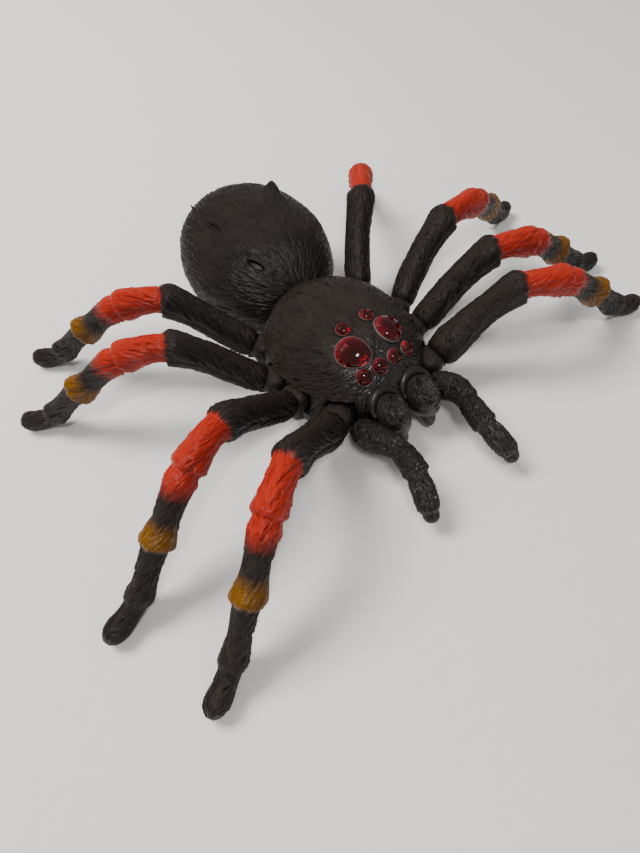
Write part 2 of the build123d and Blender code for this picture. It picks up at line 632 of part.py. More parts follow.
with BuildPart() as compound_gear:
    with BuildSketch(shaft_plane(INPUT_LAYER_X[0], COMPOUND_CENTRE)):
        with BuildLine():
            Polyline(*gear_outline(COMPOUND_WHEEL_TEETH, GEAR_MODULE, wheel_phase), close=True)
        make_face()
    extrude(amount=INPUT_LAYER_X[1] - INPUT_LAYER_X[0])
    with BuildSketch(shaft_plane(OUTPUT_LAYER_X[0], COMPOUND_CENTRE)):
        with BuildLine():
            Polyline(*gear_outline(COMPOUND_PINION_TEETH, GEAR_MODULE, compound_phase), close=True)
        make_face()
    extrude(amount=INPUT_LAYER_X[0] - OUTPUT_LAYER_X[0])
    with BuildSketch(shaft_plane(-PLATE_X[0] + 0.2, COMPOUND_CENTRE)):
        Circle(2.0)
    extrude(amount=2 * PLATE_X[0] - 0.4)
    with BuildSketch(shaft_plane(-PLATE_X[1], COMPOUND_CENTRE)):
        Circle(FIXED_PIN_RADIUS + RUNNING_GAP)
    extrude(amount=2 * PLATE_X[1], mode=Mode.SUBTRACT)
write(compound_gear, "compound_gear")

with BuildPart() as crank_gear:
    with BuildSketch(shaft_plane(OUTPUT_LAYER_X[0], CRANK_CENTRE)):
        with BuildLine():
            Polyline(*gear_outline(CRANK_GEAR_TEETH, GEAR_MODULE, crank_phase), close=True)
        make_face()
        with PolarLocations(5.6, 5):
            Circle(1.4, mode=Mode.SUBTRACT)
        Circle(SHAFT_RADIUS, mode=Mode.SUBTRACT)
    extrude(amount=OUTPUT_LAYER_X[1] - OUTPUT_LAYER_X[0])
write(crank_gear, "crank_gear")

# The crank pins stand half a turn apart. At rest the right-hand one is behind its shaft
# and the left-hand one in front, as far off as the drive bars are from mid-stroke.
rest_offset = LEVER_LENGTH[0] * math.sin(math.radians(REST_SWING[0]))
crank_rise = math.sqrt(BAR_TRAVEL**2 - rest_offset**2)
with BuildPart() as crank_shaft:
    with BuildSketch(shaft_plane(-CRANK_DISC_X[1], CRANK_CENTRE)):
        Circle(SHAFT_RADIUS)
    extrude(amount=2 * CRANK_DISC_X[1])
    for side in (-1, 1):
        low_x = min(side * CRANK_DISC_X[0], side * CRANK_DISC_X[1])
        with BuildSketch(shaft_plane(low_x, CRANK_CENTRE)):
            Circle(CRANK_DISC_RADIUS)
        extrude(amount=CRANK_DISC_X[1] - CRANK_DISC_X[0])
        low_x = min(side * CRANK_DISC_X[1], side * CRANK_PIN_END_X)
        pin_centre = (CRANK_CENTRE[0] - side * rest_offset, CRANK_CENTRE[1] - side * crank_rise)
        with BuildSketch(shaft_plane(low_x, pin_centre)):
            Circle(CRANK_PIN_RADIUS)
        extrude(amount=CRANK_PIN_END_X - CRANK_DISC_X[1])
write(crank_shaft, "crank_shaft")

with BuildPart() as axle_gear:
    with BuildSketch(shaft_plane(OUTPUT_LAYER_X[0], AXLE_CENTRE)):
        with BuildLine():
            Polyline(*gear_outline(AXLE_GEAR_TEETH, GEAR_MODULE, axle_phase), close=True)
        make_face()
        Circle(SHAFT_RADIUS, mode=Mode.SUBTRACT)
    extrude(amount=OUTPUT_LAYER_X[1] - OUTPUT_LAYER_X[0])
write(axle_gear, "axle_gear")

with BuildPart() as wheel_axle:
    with BuildSketch(shaft_plane(-WHEEL_X[1] - 0.6, AXLE_CENTRE)):
        Circle(SHAFT_RADIUS)
    extrude(amount=2 * WHEEL_X[1] + 1.2)
write(wheel_axle, "wheel_axle")

with BuildPart() as wheel_hubs:
    for low_x in (-WHEEL_X[1], WHEEL_X[0]):
        with BuildSketch(shaft_plane(low_x, AXLE_CENTRE)):
            Circle(WHEEL_HUB_RADIUS)
            Circle(SHAFT_RADIUS, mode=Mode.SUBTRACT)
            with PolarLocations(5.2, 5):
                Circle(1.7, mode=Mode.SUBTRACT)
        extrude(amount=WHEEL_X[1] - WHEEL_X[0])
write(wheel_hubs, "wheel_hubs")

with BuildPart() as tyres:
    for low_x in (-WHEEL_X[1], WHEEL_X[0]):
        with BuildSketch(shaft_plane(low_x, AXLE_CENTRE)):
            Circle(WHEEL_RADIUS)
            Circle(WHEEL_HUB_RADIUS, mode=Mode.SUBTRACT)
            with PolarLocations(WHEEL_RADIUS, 24, start_angle=7.5):
                Rectangle(0.8, 1.0, mode=Mode.SUBTRACT)
        extrude(amount=WHEEL_X[1] - WHEEL_X[0])
write(tyres, "tyres")

with BuildPart() as rear_roller:
    with BuildSketch(shaft_plane(-5.2, ROLLER_CENTRE)):
        Circle(ROLLER_RADIUS)
        Circle(FIXED_PIN_RADIUS + RUNNING_GAP, mode=Mode.SUBTRACT)
    extrude(amount=10.4)
    chamfer(rear_roller.edges().filter_by(GeomType.CIRCLE).filter_by(
        lambda edge: abs(edge.radius - ROLLER_RADIUS) < 0.01), length=0.8)
write(rear_roller, "rear_roller")

with BuildPart() as rear_roller_pin:
    with BuildSketch(shaft_plane(-7.2, ROLLER_CENTRE)):
        Circle(FIXED_PIN_RADIUS)
    extrude(amount=14.4)
write(rear_roller_pin, "rear_roller_pin")

# ================================================================ drive bars
for side, name in ((1, "drive_bar_left"), (-1, "drive_bar_right")):
    offset = -side * rest_offset
    bar_middle = side * (BAR_INNER_X + BAR_OUTER_X) / 2
    with BuildPart() as drive_bar:
        with BuildSketch(Plane.XY.offset(BAR_BASE_Z)):
            with Locations((bar_middle, (BAR_FRONT_Y + BAR_REAR_Y) / 2 + offset)):
                Rectangle(BAR_OUTER_X - BAR_INNER_X, BAR_REAR_Y - BAR_FRONT_Y)
            pin_x = PIVOTS[1][0] - LEVER_LENGTH[1]
            with Locations((side * (pin_x - 1.0), PIVOTS[1][1] + offset)):
                Rectangle(9.0, 8.0)
            for index in (0, 1, 3):
                x = PIVOTS[index][0] - LEVER_LENGTH[index] + 0.1
                with Locations((side * x, PIVOTS[index][1] + offset)):
                    SlotOverall(
                        2 * LEVER_PIN_RADIUS + 0.8, 2 * (LEVER_PIN_RADIUS + SLOT_PLAY), mode=Mode.SUBTRACT
                    )
            for y in POST_YS:
                with Locations((bar_middle, y + offset)):
                    SlotOverall(
                        2 * (POST_RADIUS + BAR_TRAVEL) + 0.6,
                        2 * (POST_RADIUS + SLOT_PLAY),
                        rotation=90,
                        mode=Mode.SUBTRACT,
                    )
        extrude(amount=BAR_TOP_Z - BAR_BASE_Z)
        room = carapace_body(-SHELL_WALL - BAR_CLEARANCE)
        add(Location((0, offset + BAR_TRAVEL, 0)) * room, mode=Mode.INTERSECT)
        low_x = BAR_INNER_X if side > 0 else -BAR_INNER_X - YOKE_DEPTH
        with BuildSketch(shaft_plane(low_x, (CRANK_CENTRE[0] + offset, 0))):
            with Locations((0, (BAR_TOP_Z + YOKE_TOP_Z) / 2)):
                Rectangle(YOKE_WIDTH, YOKE_TOP_Z - BAR_TOP_Z)
            with Locations((0, CRANK_CENTRE[1])):
                SlotOverall(
                    2 * (CRANK_PIN_RADIUS + BAR_TRAVEL) + 0.4,
                    2 * (CRANK_PIN_RADIUS + SLOT_PLAY),
                    rotation=90,
                    mode=Mode.SUBTRACT,
                )
        extrude(amount=YOKE_DEPTH)
    write(drive_bar, name)

# ================================================================ legs
sector_distance = math.dist(PIVOTS[1], PIVOTS[2])
sector_module = sector_distance / SECTOR_TEETH


def leg_plane(pivot, direction, reach, height, slope):
    """Plane across a leg's centre line, which climbs at slope degrees."""
    turn = math.radians(direction)
    climb = math.radians(slope)
    outward = (math.cos(turn), math.sin(turn))
    return Plane(
        origin=(pivot[0] + reach * outward[0], pivot[1] + reach * outward[1], height),
        x_dir=(-outward[1], outward[0], 0),
        z_dir=(outward[0] * math.cos(climb), outward[1] * math.cos(climb), math.sin(climb)),
    )


def make_leg(side, index):
    """The rigid hub of one leg and the hollow-rooted soft leg that it carries."""
    pivot = (side * PIVOTS[index][0], PIVOTS[index][1])
    yaw = MEAN_YAW[index] - side * REST_SWING[index]
    direction = -yaw if side > 0 else 180 + yaw
    tag = f"{'left' if side > 0 else 'right'}_{index + 1}"
    pivot_plane = Plane(
        origin=(pivot[0], pivot[1], HUB_BASE_Z),
        x_dir=(math.cos(math.radians(direction)), math.sin(math.radians(direction)), 0),
        z_dir=(0, 0, 1),
    )
    with BuildPart() as hub:
        with BuildSketch(pivot_plane):
            Circle(HUB_RADIUS)
        extrude(amount=HUB_TOP_Z - HUB_BASE_Z)
        with BuildSketch(pivot_plane.offset(ARM_BASE_Z - HUB_BASE_Z)):
            with Locations((ARM_REACH / 2, 0)):
                Rectangle(ARM_REACH, ARM_WIDTH)
        extrude(amount=ARM_TOP_Z - ARM_BASE_Z)
        with BuildSketch(leg_plane(pivot, direction, PEG_START[0], PEG_START[1], PEG_SLOPE)):
            Circle(PEG_RADIUS)
        extrude(amount=PEG_LENGTH)
        if LEVER_LENGTH[index] is not None:
            lever_direction = (180 if side > 0 else 0) + REST_SWING[index]
            lever_turn = math.radians(lever_direction)
            lever_plane = Plane(
                origin=(pivot[0], pivot[1], LEVER_BASE_Z),
                x_dir=(math.cos(lever_turn), math.sin(lever_turn), 0),
                z_dir=(0, 0, 1),
            )
            with BuildSketch(lever_plane):
                with Locations((LEVER_LENGTH[index] / 2, 0)):
                    Rectangle(LEVER_LENGTH[index], LEVER_WIDTH)
                with Locations((LEVER_LENGTH[index], 0)):
                    Circle(LEVER_WIDTH / 2)
            extrude(amount=LEVER_TOP_Z - LEVER_BASE_Z)
            with BuildSketch(lever_plane):
                with Locations((LEVER_LENGTH[index], 0)):
                    Circle(LEVER_PIN_RADIUS)
            extrude(amount=BAR_BASE_Z + 0.3 - LEVER_BASE_Z)
        if index in (1, 2):
            step_x = side * (PIVOTS[2][0] - PIVOTS[1][0])
            along = math.degrees(math.atan2(PIVOTS[2][1] - PIVOTS[1][1], step_x))
            if index == 1:
                phase = along + REST_SWING[1]
            else:
                phase = along + 180 + 180 / SECTOR_TEETH + REST_SWING[2]
            first = -3 if index == 2 else -2
            sector_plane = Plane(origin=(pivot[0], pivot[1], HUB_BASE_Z), x_dir=(1, 0, 0), z_dir=(0, 0, 1))
            with BuildSketch(sector_plane):
                with BuildLine():
                    Polyline(
                        *gear_outline(
                            SECTOR_TEETH, sector_module, phase, first, 5 if index == 1 else 6, HUB_RADIUS
                        ),
                        close=True,
                    )
                make_face()
            extrude(amount=SECTOR_TOP_Z - HUB_BASE_Z)
        with BuildSketch(pivot_plane):
            Circle(PIVOT_RADIUS + RUNNING_GAP)
        extrude(amount=HUB_TOP_Z, mode=Mode.SUBTRACT)
    socket = hub.part
    write(hub, f"leg_hub_{tag}")

    with BuildPart() as leg:
        for number, (reach, height, radius) in enumerate(LEG_STATIONS):
            before = LEG_STATIONS[max(number - 1, 0)]
            after = LEG_STATIONS[min(number + 1, len(LEG_STATIONS) - 1)]
            slope = math.degrees(math.atan2(after[1] - before[1], after[0] - before[0]))
            with BuildSketch(leg_plane(pivot, direction, reach, height, slope)):
                Circle(radius)
        loft(ruled=True)
        split(bisect_by=Plane.XY, keep=Keep.TOP)
        add(socket, mode=Mode.SUBTRACT)
    write(leg, f"leg_{tag}")


for side in (1, -1):
    for index in range(len(PIVOTS)):
        make_leg(side, index)

with BuildPart() as leg_pivot_screws:
    for x, y in PIVOTS:
        with BuildSketch(Plane.XY.offset(BELLY_Z + 0.6)):
            with Locations((x, y), (-x, y)):
                Circle(PIVOT_RADIUS)
        extrude(amount=HUB_TOP_Z + 0.15 - BELLY_Z - 0.6)
        with BuildSketch(Plane.XY.offset(HUB_TOP_Z + 0.15)):
            with Locations((x, y), (-x, y)):
                Circle(3.3)
                Circle(1.3, mode=Mode.SUBTRACT)
        extrude(amount=1.9)
        with BuildSketch(Plane.XY.offset(HUB_TOP_Z + 0.15)):
            with Locations((x, y), (-x, y)):
                Circle(1.4)
        extrude(amount=1.1)
write(leg_pivot_screws, "leg_pivot_screws")

# ================================================================ head parts
with BuildPart() as eye_lenses_large:
    for x, y in LARGE_EYES:
        add(lens(carapace_plane(x, y), LARGE_EYE_AXES))
    add(carapace_body(0.02), mode=Mode.SUBTRACT)
    for x, y in LARGE_EYES:
        with BuildSketch(carapace_plane(x, y).offset(1.0)):
            Circle(LIGHT_PIPE_RADIUS)
        extrude(amount=-3.6)
write(eye_lenses_large, "eye_lenses_large")

with BuildPart() as eye_lenses_small:
    for x, y in SMALL_EYES:
        add(lens(carapace_plane(x, y), SMALL_EYE_AXES))
    add(carapace_body(0.02), mode=Mode.SUBTRACT)
write(eye_lenses_small, "eye_lenses_small")

for side, name in ((1, "chelicera_left"), (-1, "chelicera_right")):
    with BuildPart() as chelicera:
        add(ellipsoid((side * 8.0, -54.0, 14.4), (6.5, 10.4, 8.4), 12.0))
        add(carapace_body(0.1), mode=Mode.SUBTRACT)
    write(chelicera, name)

with BuildPart() as fangs:
    for side in (-1, 1):
        with BuildSketch(Plane(origin=(side * 7.6, -60.0, 7.6), x_dir=(1, 0, 0), z_dir=(0, -0.5, -0.85))):
            Circle(2.0)
        with BuildSketch(Plane(origin=(side * 7.0, -63.2, 4.4), x_dir=(1, 0, 0), z_dir=(0, -0.3, -0.95))):
            Circle(1.4)
        with BuildSketch(Plane(origin=(side * 6.6, -63.4, 1.6), x_dir=(1, 0, 0), z_dir=(0, 0.2, -0.97))):
            Circle(0.5)
        loft()
    for side in (-1, 1):
        add(ellipsoid((side * 8.0, -54.0, 14.4), (6.5, 10.4, 8.4), 12.0), mode=Mode.SUBTRACT)
write(fangs, "fangs")

# Centre line of a pedipalp as (x, y, z, radius), from the head to its collared tip.
PALP_STATIONS = [
    (19.2, -49.5, 10.4, 3.6),
    (20.6, -53.5, 11.4, 5.6),
    (21.4, -59.0, 12.6, 6.0),
    (20.8, -66.0, 14.4, 5.0),
    (19.4, -72.5, 16.2, 4.2),
    (19.2, -75.5, 16.8, 4.9),
    (19.4, -83.0, 16.6, 4.7),
    (19.9, -86.6, 15.4, 3.7),
    (20.6, -89.4, 13.4, 4.6),
    (22.2, -94.4, 9.2, 4.1),
    (22.8, -96.6, 7.0, 2.9),
    (23.1, -98.0, 5.2, 1.6),
]
for side, name in ((1, "pedipalp_left"), (-1, "pedipalp_right")):
    with BuildPart() as pedipalp:
        for number, (x, y, z, radius) in enumerate(PALP_STATIONS):
            before = PALP_STATIONS[max(number - 1, 0)]
            after = PALP_STATIONS[min(number + 1, len(PALP_STATIONS) - 1)]
            along = (side * (after[0] - before[0]), after[1] - before[1], after[2] - before[2])
            with BuildSketch(Plane(origin=(side * x, y, z), x_dir=(along[1], -along[0], 0), z_dir=along)):
                Circle(radius)
        loft(ruled=True)
        add(carapace_body(0.1), mode=Mode.SUBTRACT)
    write(pedipalp, name)

# ================================================================ shell fasteners
with BuildPart() as shell_screws:
    for x, y in CARAPACE_SCREWS:
        with BuildSketch(Plane.XY.offset(BELLY_Z + 0.4)):
            with Locations((x, y)):
                Circle(SCREW_HEAD_RADIUS)
        extrude(amount=1.5)
        with BuildSketch(Plane.XY.offset(BELLY_Z + 0.4)):
            with Locations((x, y)):
                Circle(SCREW_RADIUS)
        extrude(amount=CARAPACE_SCREW_TOP_Z - BELLY_Z - 0.4)
    for x, y, base in ABDOMEN_SCREWS:
        with BuildSketch(Plane.XY.offset(base - 1.5)):
            with Locations((x, y)):
                Circle(SCREW_HEAD_RADIUS)
        extrude(amount=1.45)
        with BuildSketch(Plane.XY.offset(base - 1.5)):
            with Locations((x, y)):
                Circle(SCREW_RADIUS)
        extrude(amount=ABDOMEN_SCREW_TOP_Z + 1.5 - base)
    for x, y in TONGUE_SCREWS:
        with BuildSketch(Plane.XY.offset(ABDOMEN_BELLY_Z - 1.2)):
            with Locations((x, y)):
                Circle(SCREW_HEAD_RADIUS)
        extrude(amount=1.15)
        with BuildSketch(Plane.XY.offset(ABDOMEN_BELLY_Z - 1.2)):
            with Locations((x, y)):
                Circle(SCREW_RADIUS)
        extrude(amount=TONGUE_Z[1] - ABDOMEN_BELLY_Z + 1.2)
write(shell_screws, "shell_screws")
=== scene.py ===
"""Spider robot toy: sculpted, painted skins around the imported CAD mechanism."""

import json
import math

import bmesh
import bpy
import numpy as np
from mathutils import Matrix, kdtree


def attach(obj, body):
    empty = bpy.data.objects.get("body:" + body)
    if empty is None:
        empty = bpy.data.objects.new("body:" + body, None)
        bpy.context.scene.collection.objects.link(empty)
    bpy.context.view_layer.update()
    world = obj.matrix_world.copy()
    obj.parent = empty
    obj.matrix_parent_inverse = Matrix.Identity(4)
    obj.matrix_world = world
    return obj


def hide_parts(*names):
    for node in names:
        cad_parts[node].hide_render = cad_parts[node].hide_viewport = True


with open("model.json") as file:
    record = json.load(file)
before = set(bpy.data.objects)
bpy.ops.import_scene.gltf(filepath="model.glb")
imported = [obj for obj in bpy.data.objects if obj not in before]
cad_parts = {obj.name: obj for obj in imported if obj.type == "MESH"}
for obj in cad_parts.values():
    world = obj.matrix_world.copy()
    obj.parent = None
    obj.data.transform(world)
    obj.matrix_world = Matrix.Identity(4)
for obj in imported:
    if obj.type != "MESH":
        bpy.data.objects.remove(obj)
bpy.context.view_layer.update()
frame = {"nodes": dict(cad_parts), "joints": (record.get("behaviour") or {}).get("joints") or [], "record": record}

# Sizes below are millimetres about the body's mid-plane, with the head towards -Y.
# MM turns them into the frame's metres and MID_X is where the mid-plane stands.
MM = 0.001
JOINTS = {joint["name"]: joint for joint in frame["joints"]}


def pivot_of(joint_name):
    """A joint's place in millimetres, in the frame."""
    return np.array(JOINTS[joint_name]["pos_m"]) / MM


MID_X = (pivot_of("leg_left_1_pivot")[0] + pivot_of("leg_right_1_pivot")[0]) / 2
LEGS = [(side, number) for side in ("left", "right") for number in range(1, 5)]

# The two body shells: centre, half axes and how many degrees the rear end is tipped up.
CARAPACE = ((0, -13.4, 11.1), (36.4, 41.9, 25.7), 10.1)
ABDOMEN = ((0, 62.6, 21.2), (38.5, 42.8, 24.1), 15.9)
CARAPACE_RIM_Z = 9.2
ABDOMEN_RIM_Z = 5.2
WALL = 1.6
INNER_RINGS = 14

# Over every leg's pivot the carapace rim rises to this height, this far to each side.
ARCH_TOP_Z = 19.8
ARCH_REACH = 8.6
ARCH_STEEPNESS = 1.6

# This share of a shell's rings lies above this height. Below it they are closer together.
SHOULDER_Z = 21.5
SHOULDER_SHARE = 0.74

# The low mound at the front of the carapace that carries the eyes.
MOUND_PLACE = (0.0, -38.0)
MOUND_REACH = (20.0, 14.0)
MOUND_RISE = 3.4

# Relief value of the surfaces that carry no hair, which sets their shade.
BARE = 0.4


# ---- mesh helpers
def place(points):
    """Design millimetres to frame metres."""
    return (np.asarray(points, float) + (MID_X, 0, 0)) * MM


def unit(vectors):
    size = np.linalg.norm(vectors, axis=-1, keepdims=True)
    return vectors / np.maximum(size, 1e-9)


def above(value, start, reach):
    """0 up to the start, rising to 1 over the reach above it."""
    return np.clip((value - start) / reach, 0, 1)


def below(value, start, reach):
    """0 down to the start, rising to 1 over the reach below it."""
    return np.clip((start - value) / reach, 0, 1)


def full_turn(count):
    """Evenly spaced angles round a ring, in radians."""
    return np.linspace(0, 2 * math.pi, count, endpoint=False)


def axes_matrix(right, upward, back, at):
    """World matrix of a camera or a lamp, from its own axes and its place in metres."""
    rows = np.stack([right, upward, back, at], axis=1)
    return Matrix([*rows.tolist(), [0, 0, 0, 1]])


def new_piece(name, vertices, faces, material, body, attributes):
    """A smooth-shaded mesh object from frame metres, riding on a CAD body."""
    mesh = bpy.data.meshes.new(name)
    mesh.from_pydata(np.asarray(vertices).tolist(), [], faces)
    for label, values in attributes.items():
        layer = mesh.attributes.new(label, "FLOAT", "POINT")
        layer.data.foreach_set("value", np.asarray(values, np.float32))
    working = bmesh.new()
    working.from_mesh(mesh)
    loose = [vertex for vertex in working.verts if not vertex.link_faces]
    bmesh.ops.delete(working, geom=loose, context="VERTS")
    bmesh.ops.remove_doubles(working, verts=working.verts, dist=1e-7)
    bmesh.ops.recalc_face_normals(working, faces=working.faces)
    working.to_mesh(mesh)
    working.free()
    mesh.polygons.foreach_set("use_smooth", [True] * len(mesh.polygons))
    mesh.materials.append(material)
    piece = add_object(name, mesh)
    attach(piece, body)
    return piece


def ring_faces(rows, columns):
    """Quads of a grid whose columns close into a ring, with a fan to each end vertex."""
    index = np.arange(rows * columns).reshape(rows, columns)
    after = np.roll(index, -1, axis=1)
    quads = np.stack([index[:-1], after[:-1], after[1:], index[1:]], axis=-1).reshape(-1, 4)
    start = rows * columns
    fans = [(start, int(after[0, j]), int(index[0, j])) for j in range(columns)]
    fans += [(start + 1, int(index[-1, j]), int(after[-1, j])) for j in range(columns)]
    return quads.tolist() + fans


def with_ends(grid):
    """A ring grid's vertices, then the middle of its first row and of its last row."""
    ends = np.array([grid[0].mean(axis=0), grid[-1].mean(axis=0)])
    return np.concatenate([grid.reshape(-1, 3), ends])


def add_object(name, data):
    item = bpy.data.objects.new(name, data)
    bpy.context.scene.collection.objects.link(item)
    return item


def padded(values, count, rest):
    """The values as one row, filled up to the count with the rest value."""
    return np.concatenate([np.ravel(values), np.full(count - np.size(values), rest)])


def grid_normals(grid):
    """Outward normals of a ring grid that runs down from its crown."""
    across = np.roll(grid, -1, axis=1) - np.roll(grid, 1, axis=1)
    along = np.gradient(grid, axis=0)
    return unit(np.cross(along, across))


def smooth_noise(points, scale, seed):
    """Cheap smooth noise, about -1 to 1, from a few crossed sine waves."""
    draw = np.random.default_rng(seed)
    total = np.zeros(points.shape[:-1])
    for _ in range(6):
        direction = unit(draw.normal(size=3))
        waves = points @ direction * (2 * math.pi / scale) * draw.uniform(0.6, 1.6)
        total += np.sin(waves + draw.uniform(0, 2 * math.pi))
    return total / 3.0


def tuft(along, across):
    """Height of one moulded tuft: it rises from its root, narrows and drops at its tip."""
    inside = (along > 0) & (along < 1)
    safe = np.clip(along, 1e-3, 1 - 1e-3)
    half_width = np.sqrt(np.sin(math.pi * safe**0.8))
    crown = 1 - np.abs(across / half_width) ** 1.4
    rise = 0.45 + 0.55 * safe
    return np.where(inside, np.clip(crown, 0, 1) * rise, 0.0)


def draw_tuft(draw, length, width):
    """One tuft's own length, width and bend, about those of its coat."""
    long = length * draw.uniform(0.7, 1.3)
    wide = width * draw.uniform(0.7, 1.25)
    return long, wide, draw.normal() * 0.5


def comb(points, normals, flow, coat, seed):
    """Relief from 0 to 1 of overlapping moulded tufts that lie along the flow.

    A coat is (number of tufts, their length, their width, spread of their slant in degrees).
    """
    count, length, width, spread = coat
    draw = np.random.default_rng(seed)
    tree = kdtree.KDTree(len(points))
    for number, point in enumerate(points):
        tree.insert(point, number)
    tree.balance()
    relief = np.zeros(len(points))
    for root in draw.integers(0, len(points), count):
        normal = normals[root]
        ahead = unit(flow[root] - normal * (flow[root] @ normal))
        aside = np.cross(normal, ahead)
        turn = math.radians(draw.normal() * spread)
        cosine, sine = math.cos(turn), math.sin(turn)
        ahead, aside = ahead * cosine + aside * sine, aside * cosine - ahead * sine
        long, wide, bend = draw_tuft(draw, length, width)
        found = tree.find_range(points[root] + ahead * long / 2, long * 0.6)
        near = np.array([hit[1] for hit in found])
        offset = points[near] - points[root]
        along = offset @ ahead / long
        across = offset @ aside / (wide / 2) - bend * (along**2 - 0.3)
        height = tuft(along, across) * draw.uniform(0.6, 1.0)
        relief[near] = np.maximum(relief[near], height)
    return relief


def comb_tube(grid, row_step, lean, coat, seed):
    """The same relief on a ring grid, with lean giving each place's slant in degrees."""
    count, length, width, spread = coat
    draw = np.random.default_rng(seed)
    rows, columns = grid.shape[:2]
    girth = np.linalg.norm(np.roll(grid, -1, axis=1) - grid, axis=-1).mean(axis=1)
    relief = np.zeros((rows, columns))
    weights = girth / girth.sum()
    for root_row in draw.choice(rows, count, p=weights):
        root_column = int(draw.integers(columns))
        turn = math.radians(lean[root_row, root_column] + draw.normal() * spread)
        long, wide, bend = draw_tuft(draw, length, width)
        row_reach = int(long / row_step) + 2
        side_reach = long * abs(math.sin(turn)) + wide
        column_reach = min(int(side_reach / girth[root_row]) + 2, columns // 2 - 1)
        row_index = np.arange(max(root_row - 3, 0), min(root_row + row_reach, rows))
        column_offset = np.arange(-column_reach, column_reach + 1)
        ahead = ((row_index - root_row) * row_step)[:, None]
        aside = (column_offset * girth[root_row])[None, :]
        along = (ahead * math.cos(turn) + aside * math.sin(turn)) / long
        across = (aside * math.cos(turn) - ahead * math.sin(turn)) / (wide / 2)
        across = across - bend * (along**2 - 0.3)
        height = tuft(along, across) * draw.uniform(0.6, 1.0)
        target = np.ix_(row_index, (root_column + column_offset) % columns)
        relief[target] = np.maximum(relief[target], height)
    return relief


# ---- materials
class Nodes:
    """A material's node tree with short ways to add and join nodes."""

    def __init__(self, name):
        self.material = bpy.data.materials.new(name)
        self.material.use_nodes = True
        self.tree = self.material.node_tree
        self.shader = self.tree.nodes["Principled BSDF"]

    def add(self, kind, inputs=None, **settings):
        node = self.tree.nodes.new(kind)
        for key, value in settings.items():
            setattr(node, key, value)
        for key, value in (inputs or {}).items():
            if isinstance(value, bpy.types.NodeSocket):
                self.tree.links.new(value, node.inputs[key])
            else:
                node.inputs[key].default_value = value
        return node

    def link(self, output, key):
        self.tree.links.new(output, self.shader.inputs[key])

    def math(self, operation, first, second):
        return self.add("ShaderNodeMath", {0: first, 1: second}, operation=operation).outputs[0]

    def noise(self, scale, detail=3.0, roughness=0.55):
        where = self.add("ShaderNodeTexCoord").outputs["Object"]
        inputs = {"Vector": where, "Scale": scale, "Detail": detail, "Roughness": roughness}
        return self.add("ShaderNodeTexNoise", inputs).outputs["Fac"]

    def ramp(self, factor, stops):
        """A colour ramp through stops of (place from 0 to 1, colour)."""
        node = self.add("ShaderNodeValToRGB", {"Fac": factor})
        elements = node.color_ramp.elements
        elements[0].position, elements[0].color = stops[0][0], (*stops[0][1], 1)
        elements[1].position, elements[1].color = stops[-1][0], (*stops[-1][1], 1)
        for position, colour in stops[1:-1]:
            elements.new(position).color = (*colour, 1)
        return node.outputs["Color"]

    def span(self, value, low, high, to_low=0.0, to_high=1.0):
        """The value with its range from low to high mapped to another, and clamped there."""
        ranges = {"From Min": low, "From Max": high, "To Min": to_low, "To Max": to_high}
        return self.add("ShaderNodeMapRange", {"Value": value, **ranges}).outputs["Result"]

    def blend(self, factor, first, second):
        """Mix of two colours, each a socket or three numbers, by a factor's socket."""
        inputs = {0: factor}
        for key, colour in ((6, first), (7, second)):
            inputs[key] = (*colour, 1) if isinstance(colour, tuple) else colour
        return self.add("ShaderNodeMix", inputs, data_type="RGBA").outputs[2]

    def bump(self, height, strength, distance):
        inputs = {"Height": height, "Strength": strength, "Distance": distance}
        self.link(self.add("ShaderNodeBump", inputs).outputs["Normal"], "Normal")

    def attribute(self, name):
        return self.add("ShaderNodeAttribute", attribute_name=name).outputs["Fac"]


def skin_material(name, dark, light, roughness, specular):
    """Moulded hair in one colour, with painted shade in its grooves, painted highlights on its crests and a satin
    finish.
    """
    nodes = Nodes(name)
    relief = nodes.attribute("relief")
    patches = nodes.noise(90.0, 4.0)
    # The relief value picks the colour: painted shade where it is low and a painted highlight where it is high.
    depth = nodes.span(relief, 0.05, 0.9)
    mottled = nodes.math("MULTIPLY", depth, patches)
    nodes.link(nodes.ramp(mottled, [(0.0, dark), (0.65, light)]), "Base Color")
    worn = nodes.span(nodes.noise(240.0), 0.3, 0.7, *roughness)
    polish = nodes.span(nodes.attribute("gloss"), 0.0, 1.0, 0.0, -0.20)
    nodes.link(nodes.math("ADD", worn, polish), "Roughness")
    sheen = nodes.span(nodes.attribute("gloss"), 0.0, 1.0, specular, 0.6)
    nodes.link(sheen, "Specular IOR Level")
    nodes.bump(nodes.noise(2600.0, 5.0, 0.65), 0.28, 0.00012)
    return nodes.material


def plain_material(name, colour, roughness, grain=1400.0, depth=0.00004, metallic=0.0, tint=0.12):
    """Moulded, turned or rolled stock: slight mottling, varied gloss and a fine grain.

    The grain is a noise scale, its depth is in metres and the tint is the mottling's share.
    """
    nodes = Nodes(name)
    patches = nodes.noise(160.0, 4.0)
    darker = tuple(value * (1 - tint) for value in colour)
    lighter = tuple(min(1.0, value * (1 + tint)) for value in colour)
    nodes.link(nodes.ramp(patches, [(0.3, darker), (0.7, lighter)]), "Base Color")
    smoothest, roughest = roughness * 0.8, min(1.0, roughness * 1.2)
    nodes.link(nodes.span(nodes.noise(500.0), 0.3, 0.7, smoothest, roughest), "Roughness")
    nodes.bump(nodes.noise(grain, 4.0), 0.3, depth)
    nodes.shader.inputs["Metallic"].default_value = metallic
    return nodes.material


# Colours of the moulded vinyl: painted shade in its grooves and a painted highlight on its crests.
BLACK_GROOVE_SHADE = (0.0040, 0.0030, 0.0028)
BLACK_CREST_HIGHLIGHT = (0.023, 0.0165, 0.0143)
RED_GROOVE_SHADE = (0.19, 0.008, 0.004)
RED_CREST_HIGHLIGHT = (0.39, 0.021, 0.008)
YELLOW_GROOVE_SHADE = (0.09, 0.034, 0.0015)
YELLOW_CREST_HIGHLIGHT = (0.165, 0.064, 0.0015)

# Length of a leg's skin that the paint's ramps cover, and half the width of sharp edges.
PAINT_REACH = 150.0
PAINT_EDGE = 0.5


